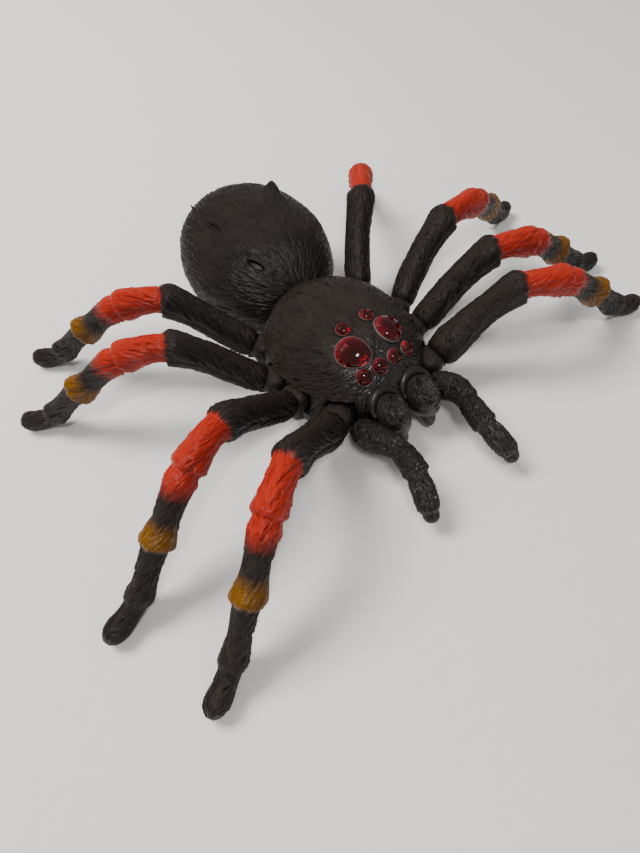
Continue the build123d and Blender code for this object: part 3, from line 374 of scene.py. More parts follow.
def leg_material(knee, fade_start, fade_end, yellow_start, yellow_full, yellow_end):
    """Black vinyl with an orange-red knee and a yellow band, blown on with soft edges.

    The arguments are lengths along the skin, which its along attribute gives.
    """
    nodes = Nodes("leg_vinyl_painted")
    along = nodes.attribute("along")
    relief = nodes.attribute("relief")
    ragged = nodes.span(nodes.noise(420.0, 3.0), 0.25, 0.75, -0.45, 0.45)
    place_on_leg = nodes.span(nodes.math("ADD", along, ragged), 0.0, PAINT_REACH)
    # The relief paints shade into the grooves and highlights onto the crests of the black, red and yellow alike.
    depth = nodes.span(relief, 0.05, 0.85)
    black = nodes.blend(depth, BLACK_GROOVE_SHADE, BLACK_CREST_HIGHLIGHT)
    red = nodes.blend(depth, RED_GROOVE_SHADE, RED_CREST_HIGHLIGHT)
    yellow = nodes.blend(depth, YELLOW_GROOVE_SHADE, YELLOW_CREST_HIGHLIGHT)

    def band(*lengths):
        """Mask that rises between the first two lengths and falls between the last two."""
        off, on = (0, 0, 0), (1, 1, 1)
        places = [0.0, *(length / PAINT_REACH for length in lengths), 1.0]
        return nodes.ramp(place_on_leg, list(zip(places, (off, off, on, on, off, off))))

    red_mask = band(knee - PAINT_EDGE, knee + PAINT_EDGE, fade_start, fade_end)
    yellow_mask = band(yellow_start, yellow_full, yellow_end - PAINT_EDGE, yellow_end + PAINT_EDGE)
    with_red = nodes.blend(red_mask, black, red)
    nodes.link(nodes.blend(yellow_mask, with_red, yellow), "Base Color")
    painted = nodes.math("MAXIMUM", red_mask, yellow_mask)
    gloss = nodes.span(painted, 0.0, 1.0, 0.48, 0.34)
    varied = nodes.span(nodes.noise(260.0), 0.3, 0.7, -0.06, 0.06)
    nodes.link(nodes.math("ADD", gloss, varied), "Roughness")
    nodes.bump(nodes.noise(2600.0, 5.0, 0.65), 0.25, 0.0001)
    nodes.shader.inputs["Specular IOR Level"].default_value = 0.26
    return nodes.material


def lens_material():
    """Deep red translucent lens, moulded glass-smooth, with a painted glow of light that is brighter towards its
    edge.
    """
    nodes = Nodes("eye_red_lens")
    # Painted light: the lens is dark in its middle and glows red towards its edge and its lit side.
    stops = [
        (0.0, (0.11, 0.001, 0.005)),
        (0.55, (0.17, 0.002, 0.008)),
        (0.8, (0.62, 0.012, 0.035)),
        (1.0, (1.0, 0.06, 0.10)),
    ]
    tone = nodes.ramp(nodes.attribute("edge"), stops)
    streaks = nodes.span(nodes.noise(220.0), 0.35, 0.7, 0.0, 0.18)
    nodes.link(nodes.blend(streaks, tone, (0.6, 0.01, 0.02)), "Base Color")
    nodes.link(nodes.span(nodes.noise(600.0), 0.3, 0.7, 0.03, 0.07), "Roughness")
    nodes.shader.inputs["Transmission Weight"].default_value = 0.9
    nodes.shader.inputs["IOR"].default_value = 1.42
    nodes.shader.inputs["Specular IOR Level"].default_value = 0.4
    return nodes.material


# Each skin's first colour is painted shade for its grooves, and its second is a painted highlight for its crests.
BODY_SKIN = skin_material("body_vinyl_hair", BLACK_GROOVE_SHADE, BLACK_CREST_HIGHLIGHT, (0.36, 0.50), 0.32)
GLOSS_SKIN = skin_material(
    "head_vinyl_gloss", BLACK_GROOVE_SHADE, (0.036, 0.030, 0.028), (0.19, 0.27), 0.55
)
PALP_SKIN = skin_material(
    "palp_vinyl_hair", BLACK_GROOVE_SHADE, (0.025, 0.0198, 0.0185), (0.28, 0.38), 0.5
)
SMOOTH_SKIN = plain_material(
    "head_vinyl_smooth", (0.012, 0.0098, 0.0092), 0.33, 900.0, 0.00003, tint=0.3
)
LENS = lens_material()
LENS_RIM = plain_material("eye_rim", (0.10, 0.078, 0.074), 0.24, 900.0, 0.00001)
LENS_BACKING = plain_material("eye_backing", (0.50, 0.03, 0.035), 0.22, 600.0, 0.00002, 0.85)


# ---- body shells
def dome_point(shell, azimuth, latitude, inset=0.0):
    """Points of a tipped ellipsoid, or of the one that lies inside it by the inset."""
    centre, axes, pitch = shell
    a, b, c = (axis - inset for axis in axes)
    turn = math.radians(pitch)
    x = a * np.cos(latitude) * np.cos(azimuth)
    y = b * np.cos(latitude) * np.sin(azimuth)
    z = c * np.sin(latitude)
    tipped_y = centre[1] + y * math.cos(turn) - z * math.sin(turn)
    tipped_z = centre[2] + y * math.sin(turn) + z * math.cos(turn)
    return np.stack([centre[0] + x, tipped_y, tipped_z], axis=-1)


def rim_latitude(shell, azimuth, height):
    """Latitude at which each meridian comes down to the height given."""
    centre, axes, pitch = shell
    turn = math.radians(pitch)
    level = axes[1] * np.sin(azimuth) * math.sin(turn)
    upright = axes[2] * math.cos(turn)
    size = np.hypot(level, upright)
    return np.arctan2(upright, level) - np.arccos(np.clip((height - centre[2]) / size, -1, 1))


def dome_grid(shell, rim, columns, rings):
    """Ring grid of a shell's outside, from near its crown down to its rim heights."""
    azimuth = full_turn(columns)
    low = rim_latitude(shell, azimuth, rim(azimuth))
    shoulder = rim_latitude(shell, azimuth, np.full(len(azimuth), SHOULDER_Z))
    share = np.linspace(0.006, 1.0, rings)[:, None]
    upper = math.pi / 2 + (shoulder[None, :] - math.pi / 2) * share / SHOULDER_SHARE
    lower = shoulder + (low - shoulder)[None, :] * (share - SHOULDER_SHARE) / (1 - SHOULDER_SHARE)
    latitude = np.where(share < SHOULDER_SHARE, upper, lower)
    return dome_point(shell, azimuth[None, :], latitude), azimuth, low


def close_shell(outside, shell, azimuth, low, wall=WALL):
    """Adds the turned-in rim and a coarse inside, so that the shell has a real wall."""
    share = np.linspace(1.0, 0.03, INNER_RINGS)[:, None]
    latitude = math.pi / 2 + (low[None, :] - math.pi / 2) * share
    inside = dome_point(shell, azimuth[None, :], latitude, wall)
    inside[0, :, 2] = outside[-1, :, 2]
    grid = np.concatenate([outside, inside])
    return with_ends(grid), ring_faces(len(grid), grid.shape[1])


def arch_height(azimuth):
    """Height of the carapace rim, raised into an arch over each leg's pivot."""
    rim = dome_point(CARAPACE, azimuth, np.zeros_like(azimuth))[:, :2]
    height = np.full(len(azimuth), CARAPACE_RIM_Z)
    for side, number in LEGS:
        pivot = pivot_of(f"leg_{side}_{number}_pivot")[:2] - (MID_X, 0)
        gap = np.linalg.norm(rim - pivot, axis=1) / ARCH_REACH
        arch = np.clip(ARCH_STEEPNESS * np.sqrt(np.clip(1 - gap**2, 0, 1)), 0, 1)
        height = np.maximum(height, CARAPACE_RIM_Z + (ARCH_TOP_Z - CARAPACE_RIM_Z) * arch)
    return height


# Eyes as name: (x, y, half length, half width, rise, direction of length, egg shape). The
# egg shape is the share by which the outline widens where that direction points.
EYES = {
    "large_left": (11.0, -29.7, 6.9, 6.2, 3.7, (0.40, 1.0, 0), 0.10),
    "large_right": (-9.0, -31.5, 7.7, 6.6, 3.7, (-0.55, 1.0, 0), 0.12),
    "small_1_left": (7.4, -19.4, 3.3, 3.3, 2.3, (0, 1.0, 0), 0.0),
    "small_1_right": (-5.6, -20.1, 3.4, 3.3, 2.3, (0, 1.0, 0), 0.0),
    "small_2_left": (5.1, -41.0, 3.4, 3.3, 2.4, (0, 1.0, 0), 0.0),
    "small_2_right": (-2.7, -41.5, 3.5, 3.4, 2.4, (0, 1.0, 0), 0.0),
    "small_3_left": (13.6, -39.4, 3.4, 3.6, 2.8, (0, 1.0, 0), 0.0),
    "small_3_right": (-10.5, -41.0, 3.6, 3.4, 2.4, (0, 1.0, 0), 0.0),
}

# Under each lens the skin drops by this much. Round each lens it is calm, without tufts.
SOCKET_DEPTH = 2.1
CALM_REACH = 1.8

# Around these directions in degrees the wall is thinner and stands out a little, as the
# front legs' levers swing close to it.
THIN_WALL = 0.6
THIN_OUTWARD = 0.5
THIN_TURNS = (-61.0, -119.0)
THIN_REACH = 13.0

# The carapace's hair runs away from a point over the eyes, with a coarse and a fine coat.
HAIR_ORIGIN = np.array([0, -36.0, 33.0])
HAIR_BACKWARD = (0, 0.35, 0)
CARAPACE_COAT = (4200, 8.5, 1.6, 12.0)
CARAPACE_FINE_COAT = (6500, 3.4, 0.85, 18.0)


def mound_height(x, y):
    """Height of the eye mound over the plain dome."""
    across = (x - MOUND_PLACE[0]) / MOUND_REACH[0]
    along = (y - MOUND_PLACE[1]) / MOUND_REACH[1]
    return MOUND_RISE * np.exp(-(across**2) - along**2)


def thin_share(azimuth):
    """1 where the carapace wall is thinned and 0 elsewhere, by direction round the shell."""
    degrees = np.degrees((azimuth + math.pi) % (2 * math.pi) - math.pi)
    gaps = [np.abs(degrees - turn) / THIN_REACH for turn in THIN_TURNS]
    return np.max([np.clip(2 - gap * 1.5, 0, 1) for gap in gaps], axis=0)


def carapace_height(x, y):
    """Height of the carapace above (x, y), with the mound of the eyes."""
    centre, axes, pitch = CARAPACE
    turn = math.radians(pitch)
    dx, dy = x - centre[0], y - centre[1]
    cosine, sine = math.cos(turn), math.sin(turn)
    spin = np.array([[1, 0, 0], [0, cosine, -sine], [0, sine, cosine]])
    shape = spin @ np.diag(1 / np.array(axes) ** 2) @ spin.T
    square = shape[2, 2]
    linear = 2 * (shape[0, 2] * dx + shape[1, 2] * dy)
    rest = shape[0, 0] * dx**2 + shape[1, 1] * dy**2 + 2 * shape[0, 1] * dx * dy - 1
    dz = (-linear + math.sqrt(linear**2 - 4 * square * rest)) / (2 * square)
    return centre[2] + dz + mound_height(x, y)


def carapace_touch(x, y):
    """Point and outward normal on top of the carapace above (x, y)."""
    step = 0.05
    rise_x = carapace_height(x + step, y) - carapace_height(x - step, y)
    rise_y = carapace_height(x, y + step) - carapace_height(x, y - step)
    slope_x, slope_y = rise_x / (2 * step), rise_y / (2 * step)
    return np.array([x, y, carapace_height(x, y)]), unit(np.array([-slope_x, -slope_y, 1.0]))


def eye_axes(eye):
    """Middle of an eye's seat, and its normal, lengthwise and sideways directions."""
    x, y, _, _, _, direction, _ = eye
    point, normal = carapace_touch(x, y)
    lengthwise = np.array(direction, float)
    ahead = unit(lengthwise - normal * (lengthwise @ normal))
    return point, normal, ahead, np.cross(normal, ahead)


def eye_gap(points, eye):
    """Distance from an eye's middle in its own plane, as a share of its outline's size."""
    _, _, half_long, half_wide, _, _, egg = eye
    point, normal, ahead, aside = eye_axes(eye)
    offset = points - point
    along = offset @ ahead / half_long
    swell = 1 + egg * along / np.maximum(np.hypot(along, offset @ aside / half_wide), 1e-6)
    flat_gap = np.hypot(along, offset @ aside / (half_wide * swell))
    plane_reach, far = 6.0, 10.0
    return flat_gap + (np.abs(offset @ normal) > plane_reach) * far


def build_carapace():
    """Hairy front shell, calm and hollowed where the lenses sit and glossy between them."""
    outside, azimuth, low = dome_grid(CARAPACE, arch_height, 560, 163)
    flat, normals = outside.reshape(-1, 3), grid_normals(outside).reshape(-1, 3)
    x, y, z = flat.T
    flow = unit(flat - HAIR_ORIGIN) + HAIR_BACKWARD
    relief = comb(flat, normals, flow, CARAPACE_COAT, seed=11)
    fine = comb(flat, normals, flow, CARAPACE_FINE_COAT, seed=12)
    front = below(y, -34.0, 10.0)
    mixed = relief * (1 - 0.5 * front) + fine * (0.25 + 0.45 * front)

    mound = mound_height(x, y)
    raised = flat + np.outer(mound, (0, 0, 1))
    calm = np.ones(len(flat))
    sockets = np.zeros(len(flat))
    for eye in EYES.values():
        gap = eye_gap(raised, eye)
        size = (eye[2] + eye[3]) / 2
        calm = np.minimum(calm, np.clip((gap - 1.0) * size / CALM_REACH, 0.1, 1))
        sockets = np.maximum(sockets, np.clip((1.02 - gap) * size / 0.5, 0, 1))

    swell = smooth_noise(flat, 26.0, 5) * 0.2
    thin = thin_share(azimuth)
    outward = THIN_OUTWARD * np.tile(thin, len(outside)) * below(z, 24.0, 6.0)
    height = (mixed * 1.25 - 0.75) * calm + swell + outward
    height = height * (1 - sockets) - SOCKET_DEPTH * sockets
    moved = flat + normals * height[:, None]
    moved[:, 2] += mound * above(z, 14.0, 10.0)
    outside = moved.reshape(outside.shape)
    wall = WALL + (THIN_WALL - WALL) * thin
    vertices, faces = close_shell(outside, CARAPACE, azimuth, low, wall)

    shade = np.clip(mixed * calm + 0.12, 0, 1)
    gloss = below(y, -20.0, 8.0) * below(np.abs(x - 1.0), 20.0, 8.0)
    count = len(vertices)
    layers = {"relief": padded(shade, count, BARE), "gloss": padded(gloss, count, 0.0)}
    points = place(vertices)
    piece = new_piece("carapace_skin", points, faces, BODY_SKIN, "frame", layers)
    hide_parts("carapace_shell")


# Two long pits moulded into the abdomen, as (middle, length and direction, half width).
PITS = [
    ((-12.1, 38.4, 35.6), (-7.0, 13.8, 2.6), 1.8),
    ((-18.0, 67.5, 43.6), (-2.2, 11.0, 0.7), 1.6),
]
PIT_DEPTH = 3.0
PIT_LIP = 0.15

# A pointed nub, with its reach sideways, towards the tail and towards the head.
NUB = (21.0, 77.0, 43.0)
NUB_HEIGHT = 4.4
NUB_REACH = (2.9, 2.0, 7.0)

# Two spikes at the tail, as (root, length and direction), and their (share of it, radius).
TAIL_SPIKES = [
    ((-17.6, 89.0, 41.2), (-0.6, 2.4, 2.2)),
    ((-9.5, 88.0, 44.2), (-0.2, 1.3, 1.2)),
]
SPIKE_TAPER = [(-0.4, 1.0), (0.2, 0.8), (0.6, 0.5), (0.9, 0.25), (1.0, 0.08)]

# The abdomen's hair runs away from the waist. Its shell stands out a little at its foot.
WAIST = np.array([0, 16.0, 17.0])
ABDOMEN_COAT = (5000, 10.0, 1.7, 10.0)
ABDOMEN_FINE_COAT = (6500, 4.0, 0.9, 16.0)
FOOT_OUTWARD = 0.55


def abdomen_rim(azimuth):
    return np.full(len(azimuth), ABDOMEN_RIM_Z)


def nub_share(points):
    """1 at the middle of the nub and falling off around it, by its reach each way."""
    across, along, lift = (points - NUB).T
    side_reach, tail_reach, head_reach = NUB_REACH
    along_reach = np.where(along > 0, tail_reach, head_reach)
    share = np.exp(-((across / side_reach) ** 2) - (along / along_reach) ** 2)
    return share * (lift > -12)


def build_tail_spikes():
    for number, (root, lean) in enumerate(TAIL_SPIKES):
        root, lean = np.array(root), np.array(lean)
        spike = [(*(root + lean * share), radius) for share, radius in SPIKE_TAPER]
        build_tube(f"tail_spike_{number}", spike, 0.25, 24, BODY_SKIN)


def build_abdomen():
    """Hairy rear shell with its pits and nub."""
    outside, azimuth, low = dome_grid(ABDOMEN, abdomen_rim, 540, 150)
    flat, normals = outside.reshape(-1, 3), grid_normals(outside).reshape(-1, 3)
    flow = unit(flat - WAIST)
    relief = comb(flat, normals, flow, ABDOMEN_COAT, seed=21)
    fine = comb(flat, normals, flow, ABDOMEN_FINE_COAT, seed=22)
    mixed = relief * 0.75 + fine * 0.35
    height = mixed * 1.3 - 0.75 + smooth_noise(flat, 34.0, 6) * 0.3
    for centre, along, half_width in PITS:
        offset = flat - centre
        axis = unit(np.array(along))
        run = offset @ axis / (np.linalg.norm(along) / 2)
        aside = offset - (offset @ axis)[:, None] * axis
        wide = np.linalg.norm(aside, axis=1) / half_width
        hollow = np.clip(1 - run**2 - wide**2, 0, 1)
        height -= PIT_DEPTH * hollow**1.7
        # Painted shade: the relief value drops inside a pit, so its hollow takes the darkest groove colour.
        mixed = mixed * (1 - 0.95 * hollow)
        height += PIT_LIP * np.exp(-((np.sqrt(run**2 + wide**2) - 1.35) ** 2) / 0.12)
    height += FOOT_OUTWARD * below(flat[:, 2], 19.0, 4.0)
    height += NUB_HEIGHT * nub_share(flat)
    moved = flat + normals * height[:, None]
    outside = moved.reshape(outside.shape)
    outside[:, :, 2] = np.maximum(outside[:, :, 2], ABDOMEN_RIM_Z - 0.3)
    vertices, faces = close_shell(outside, ABDOMEN, azimuth, low)
    layers = {"relief": padded(np.clip(mixed + 0.05, 0, 1), len(vertices), BARE)}
    points = place(vertices)
    piece = new_piece("abdomen_skin", points, faces, BODY_SKIN, "frame", layers)
    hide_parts("abdomen_upper_shell")


# ---- limbs
SPLINE_STEPS = 16


def spline(path):
    """Points of a smooth curve through the control points, as many between each two."""
    longer = np.vstack([2 * path[0] - path[1], path, 2 * path[-1] - path[-2]])
    points = []
    for number in range(len(path) - 1):
        before, here, there, after = longer[number : number + 4]
        for share in np.linspace(0, 1, SPLINE_STEPS, endpoint=False):
            linear = (there - before) * share
            square = (2 * before - 5 * here + 4 * there - after) * share**2
            cube = (3 * here - before - 3 * there + after) * share**3
            points.append(0.5 * (2 * here + linear + square + cube))
    points.append(path[-1])
    return np.array(points)


def swept_limb(path, radii, step, columns):
    """Rows of a round limb along a smooth path through (n, 3) control points, as their
    lengths along it, centres, radii and unit spokes, then the spokes' angles from the top."""
    dense = spline(path)
    gaps = np.linalg.norm(np.diff(dense, axis=0), axis=1)
    lengths = np.concatenate([[0], np.cumsum(gaps)])
    run = np.linspace(0, lengths[-1], int(lengths[-1] / step) + 1)
    kernel = np.hanning(9) / np.hanning(9).sum()
    centre = np.empty((len(run), 3))
    for axis in range(3):
        values = np.interp(run, lengths, dense[:, axis])
        values = np.pad(values, 4, "reflect", reflect_type="odd")
        centre[:, axis] = np.convolve(values, kernel, "valid")
    radius = np.interp(run, lengths[::SPLINE_STEPS], radii)
    radius = np.convolve(np.pad(radius, 2, "edge"), [0.1, 0.24, 0.32, 0.24, 0.1], "valid")
    tangent = unit(np.gradient(centre, axis=0))
    level = unit(np.cross(tangent, (0, 0, 1.0)))[:, None, :]
    upward = np.cross(level[:, 0], tangent)[:, None, :]
    angle = full_turn(columns)
    spoke = level * np.sin(angle)[None, :, None] + upward * np.cos(angle)[None, :, None]
    return run, centre, radius, spoke, angle


# A leg's centre line as (reach from its pivot, height, radius), five stations to a line: the
# CAD leg's, with the scalloped cuff, the groove and the flares.
LEG_LINE = [
    (4.2, 13.8, 3.6), (4.8, 14.2, 5.6), (6.6, 15.3, 6.4), (9.0, 16.8, 6.6), (12.5, 19.3, 6.7),
    (18.0, 24.0, 6.8), (25.0, 30.2, 6.7), (31.0, 35.6, 6.8), (36.0, 39.4, 7.5), (39.3, 41.4, 7.8),
    (40.4, 41.9, 7.1), (41.3, 42.0, 5.7), (46.0, 42.5, 5.7), (52.0, 41.8, 6.1), (57.0, 40.5, 7.0),
    (59.2, 39.8, 7.2), (60.6, 39.2, 5.2), (61.7, 38.8, 5.6), (64.2, 37.6, 6.4), (67.0, 36.1, 5.8),
    (72.5, 32.4, 5.15), (76.8, 29.0, 5.2), (80.2, 26.4, 6.1), (83.1, 24.5, 7.1), (84.4, 23.6, 6.8),
    (85.4, 22.9, 5.0), (92.0, 17.4, 4.6), (97.0, 12.9, 4.9), (100.4, 10.1, 5.8), (102.3, 8.7, 5.4),
    (103.6, 7.8, 4.4), (107.5, 6.0, 4.3), (111.5, 4.9, 4.7), (114.8, 4.6, 4.8), (117.2, 4.4, 4.1),
    (118.8, 4.4, 2.7), (119.5, 4.4, 1.0),
]

# Stations, counted from 0, at the knee, the end of the red and both ends of the yellow.
KNEE_STATION = 11
FADE_STATION = 19
YELLOW_STATION = 21
YELLOW_END_STATION = 24

# The soft legs don't stay quite straight: how far each bows sideways along its reach.
BOW_REACH = (4.0, 14.0, 25.0, 40.0, 52.0, 65.0, 80.0, 100.0, 118.0)
LEG_BOW = {
    "right_1": (-0.3, -1.4, -2.0, -2.1, -1.4, -0.8, 0.1, 0.3, -0.4),
    "right_2": (-0.4, -2.0, -2.4, -2.6, -2.5, -1.9, -1.0, 0.2, -0.9),
    "right_3": (-0.4, -1.7, -1.8, -0.4, 0.0, 0.4, 1.6, 1.2, 0.0),
    "right_4": (-0.5, -2.2, -2.5, -2.2, -1.0, -0.6, -0.5, -0.8, -0.8),
    "left_1": (0.5, 2.8, 3.0, 0.7, -1.6, -1.8, -1.6, -1.4, -1.0),
    "left_2": (0.2, 1.3, 1.8, -0.3, -2.3, -2.4, -1.6, -1.2, -1.2),
    "left_3": (0.5, 2.8, 3.2, 1.1, -1.5, -2.3, -1.6, 0.0, 0.8),
    "left_4": (0.3, 1.7, 1.3, -0.6, -0.6, -0.3, -0.5, -0.8, -0.5),
}

# How much fuller each pair's roots are, from the front, and where along the reach.
ROOT_SWELL = {1: 0.27, 2: 0.04, 3: 0.0, 4: 0.05}
ROOT_PLACE = 10.0
ROOT_REACH = 8.0

LEG_ROW_STEP = 0.4
LEG_COLUMNS = 104
LEG_COAT = (2600, 6.8, 1.3, 6.0)
LEG_FINE_COAT = (1500, 3.6, 0.9, 12.0)

# The tufts slant by this many degrees down the sides of a leg.
HAIR_SLANT = 26.0

# Waves that make a leg's steps and paint ragged, as (number, height), and their phases.
RAGGED_WAVES = ((3, 0.18), (7, 0.12), (12, 0.10))
PHASES = 6.28

# The soles are flattened just above the table. The toe is the end of a CAD leg's reach.
SOLE_Z = 0.02
TOE_LENGTH = 6.0


def leg_frame(side, number):
    """Pivot and outward direction of a CAD leg, read from the frame."""
    pivot = pivot_of(f"leg_{side}_{number}_pivot")
    node = frame["nodes"][f"leg_{side}_{number}"]
    points = np.empty(len(node.data.vertices) * 3)
    node.data.vertices.foreach_get("co", points)
    points = points.reshape(-1, 3) / MM
    reach = np.linalg.norm(points[:, :2] - pivot[:2], axis=1)
    toe = points[reach > reach.max() - TOE_LENGTH].mean(axis=0)
    return pivot, unit(toe[:2] - pivot[:2])


def build_leg(side, number, material):
    """Soft leg skin over a CAD leg, with its cap over the pivot."""
    pivot, outward = leg_frame(side, number)
    stations = np.array(LEG_LINE)
    bow = np.interp(stations[:, 0], BOW_REACH, LEG_BOW[f"{side}_{number}"])
    sideways = np.array([-outward[1], outward[0]])
    plan = pivot[:2] + stations[:, :1] * outward + bow[:, None] * sideways
    path = np.column_stack([plan, stations[:, 1]])
    root = ((stations[:, 0] - ROOT_PLACE) / ROOT_REACH) ** 2
    radii = stations[:, 2] * (1 + ROOT_SWELL[number] * np.exp(-root))
    run, centre, radius, spoke, angle = swept_limb(path, radii, LEG_ROW_STEP, LEG_COLUMNS)

    seed = 100 + number * 10 + (5 if side == "left" else 0)
    draw = np.random.default_rng(seed)
    waves = []
    for count, size in RAGGED_WAVES:
        waves.append(np.sin(angle * count + draw.uniform(0, PHASES)) * size)
    shifted = run[:, None] + sum(waves)[None, :]
    oval = 1 + 0.03 * np.cos(2 * angle)[None, :]
    skin_radius = np.interp(shifted, run, radius) * oval
    grid = centre[:, None, :] + spoke * skin_radius[:, :, None]

    slant = -HAIR_SLANT * np.tanh(2.2 * np.sin(angle)) * np.sign(np.cos(angle) + 0.001)
    lean = np.tile(slant, (len(run), 1))
    relief = comb_tube(grid, LEG_ROW_STEP, lean, LEG_COAT, seed)
    fine = comb_tube(grid, LEG_ROW_STEP, lean, LEG_FINE_COAT, seed + 1)
    mixed = relief * 0.9 + fine * 0.14
    fade = np.clip(np.minimum(run, run[-1] - run) / 4.0, 0, 1)[:, None]
    height = (mixed * 1.25 - 0.75) * fade + smooth_noise(grid, 18.0, seed) * 0.12
    grid = grid + spoke * height[:, :, None]
    grid[:, :, 2] = np.maximum(grid[:, :, 2], SOLE_Z)

    vertices = np.concatenate([grid.reshape(-1, 3), centre[:1], centre[-1:]]) * MM
    along = np.concatenate([shifted.ravel(), [run[0], run[-1]]])
    shade = padded(np.clip(mixed * fade + 0.1, 0, 1), len(vertices), 0.3)
    layers = {"along": along, "relief": shade}
    faces = ring_faces(len(run), LEG_COLUMNS)
    name, body = f"leg_skin_{side}_{number}", f"leg_{side}_{number}_swing"
    piece = new_piece(name, vertices, faces, material, body, layers)
    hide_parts(f"leg_{side}_{number}")
    build_leg_cap(side, number, pivot, outward, material)


# The soft cap over a pivot screw: radius, foot and top, upright part of its side, and as
# (radius, height) the hollow that clears the hub and the screw head.
CAP_RADIUS, CAP_LOW, CAP_HIGH = 6.6, 12.25, 19.35
CAP_SIDE = 1.6
CAP_HOLLOW = [(5.75, 12.25), (5.75, 16.2), (3.75, 16.2), (3.75, 18.4), (1.8, 18.4), (0.05, 18.4)]
CAP_COLUMNS = 90
CAP_COAT = (420, 5.0, 1.4, 12.0)


def build_leg_cap(side, number, pivot, ahead, material):
    """The leg's rounded root over its hub, hollow so that it swings clear of the screw."""
    radius = CAP_RADIUS * (1 + 0.3 * ROOT_SWELL[number])
    dome = CAP_HIGH - CAP_LOW - CAP_SIDE
    outline = []
    for turn in np.linspace(0.01, math.pi / 2, 34):
        lift = CAP_LOW + CAP_SIDE + dome * math.cos(turn) ** 0.8
        outline.append((radius * math.sin(turn) ** 0.85, lift))
    outline += [(radius, CAP_LOW + CAP_SIDE / 2), (radius - 0.1, CAP_LOW)]
    outer_rows = len(outline)
    section = np.array(outline + CAP_HOLLOW)
    angle = full_turn(CAP_COLUMNS)
    sides = [
        pivot[0] + section[:, :1] * np.cos(angle),
        pivot[1] + section[:, :1] * np.sin(angle),
        np.repeat(section[:, 1:], CAP_COLUMNS, axis=1),
    ]
    grid = np.stack(sides, axis=-1)

    flat = grid[:outer_rows].reshape(-1, 3)
    outward = unit(flat - (pivot[0], pivot[1], 12.0))
    flow = np.tile([ahead[0], ahead[1], -0.2], (len(flat), 1))
    relief = comb(flat, outward, flow, CAP_COAT, seed=300 + number)
    height = outward * ((relief - 0.5) * 0.5)[:, None]
    grid[:outer_rows] += height.reshape(outer_rows, CAP_COLUMNS, 3)

    vertices = with_ends(grid) * MM
    along = np.zeros(len(vertices))
    layers = {"along": along, "relief": padded(relief, len(vertices), 0.3)}
    faces = ring_faces(len(grid), CAP_COLUMNS)
    name, body = f"leg_cap_{side}_{number}", f"leg_{side}_{number}_swing"
    new_piece(name, vertices, faces, material, body, layers)


def station_length(index):
    """Distance along the leg's centre line to one of its stations."""
    line = np.array(LEG_LINE)[:, :2]
    return float(np.linalg.norm(np.diff(line[: index + 1], axis=0), axis=1).sum())


# ---- head parts
# The soft head parts sit a little towards the spider's left.
HEAD_SHIFT = 1.2

# A chelicera's shell, and the middle and half axes of the hairy patch on its top and front.
CHELICERA_CENTRE = (8.2, -54.8, 14.4)
CHELICERA_AXES = (7.3, 11.0, 8.8)
CHELICERA_PITCH = 12.0
HAIR_PATCH = ((8.4, -57.8, 20.9), (6.3, 6.9, 6.4))
CHELICERA_COAT = (1900, 2.7, 0.62, 16.0)


def at_side(point, sign):
    """A point of the soft head on the left (sign 1) or the right (sign -1)."""
    x, y, z = point
    return sign * x + HEAD_SHIFT, y, z


def build_chelicera(side, sign):
    """Smooth bulb with a patch of short bristles on its top and front."""
    shell = (at_side(CHELICERA_CENTRE, sign), CHELICERA_AXES, CHELICERA_PITCH)
    columns, rings = 230, 160
    latitude = np.linspace(1.56, -1.56, rings)
    grid = dome_point(shell, full_turn(columns)[None, :], latitude[:, None])
    flat, normals = grid.reshape(-1, 3), grid_normals(grid).reshape(-1, 3)
    patch_centre, patch_axes = HAIR_PATCH
    gap = np.linalg.norm((flat - at_side(patch_centre, sign)) / patch_axes, axis=1)
    patch = below(gap, 1.08, 0.12)
    flow = np.tile([0.15 * sign, -1.0, -0.35], (len(flat), 1))
    relief = comb(flat, normals, flow, CHELICERA_COAT, seed=31 + sign) ** 1.5
    height = patch * (relief * 1.8 - 0.2) - 0.1
    moved = flat + normals * height[:, None]
    vertices = place(with_ends(moved.reshape(grid.shape)))
    shade = np.where(patch > 0.3, relief * 1.3, 0.45)
    layers = {"relief": padded(shade, len(vertices), BARE)}
    faces = ring_faces(rings, columns)
    name = f"chelicera_skin_{side}"
    piece = new_piece(name, vertices, faces, GLOSS_SKIN, "frame", layers)
    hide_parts(f"chelicera_{side}")


def build_tube(name, stations, step, columns, material, coat=None, seed=None):
    """A round limb from (x, y, z, radius) stations, with hair relief where it has a coat."""
    stations = np.array(stations, float)
    run, centre, radius, spoke, _ = swept_limb(stations[:, :3], stations[:, 3], step, columns)
    grid = centre[:, None, :] + spoke * radius[:, None, None]
    relief = np.full(grid.shape[:2], BARE)
    if coat:
        hairy = (above(run, HAIR_START, 1.5) * below(run, run[-1], 2.0))[:, None]
        relief = comb_tube(grid, step, np.zeros(grid.shape[:2]), coat, seed)
        grid = grid + spoke * ((relief - 0.45) * HAIR_DEPTH * hairy)[:, :, None]
        relief = relief * hairy + BARE * (1 - hairy)
    vertices = place(np.concatenate([grid.reshape(-1, 3), centre[:1], centre[-1:]]))
    layers = {"relief": padded(relief, len(vertices), BARE)}
    faces = ring_faces(len(run), columns)
    return new_piece(name, vertices, faces, material, "frame", layers)


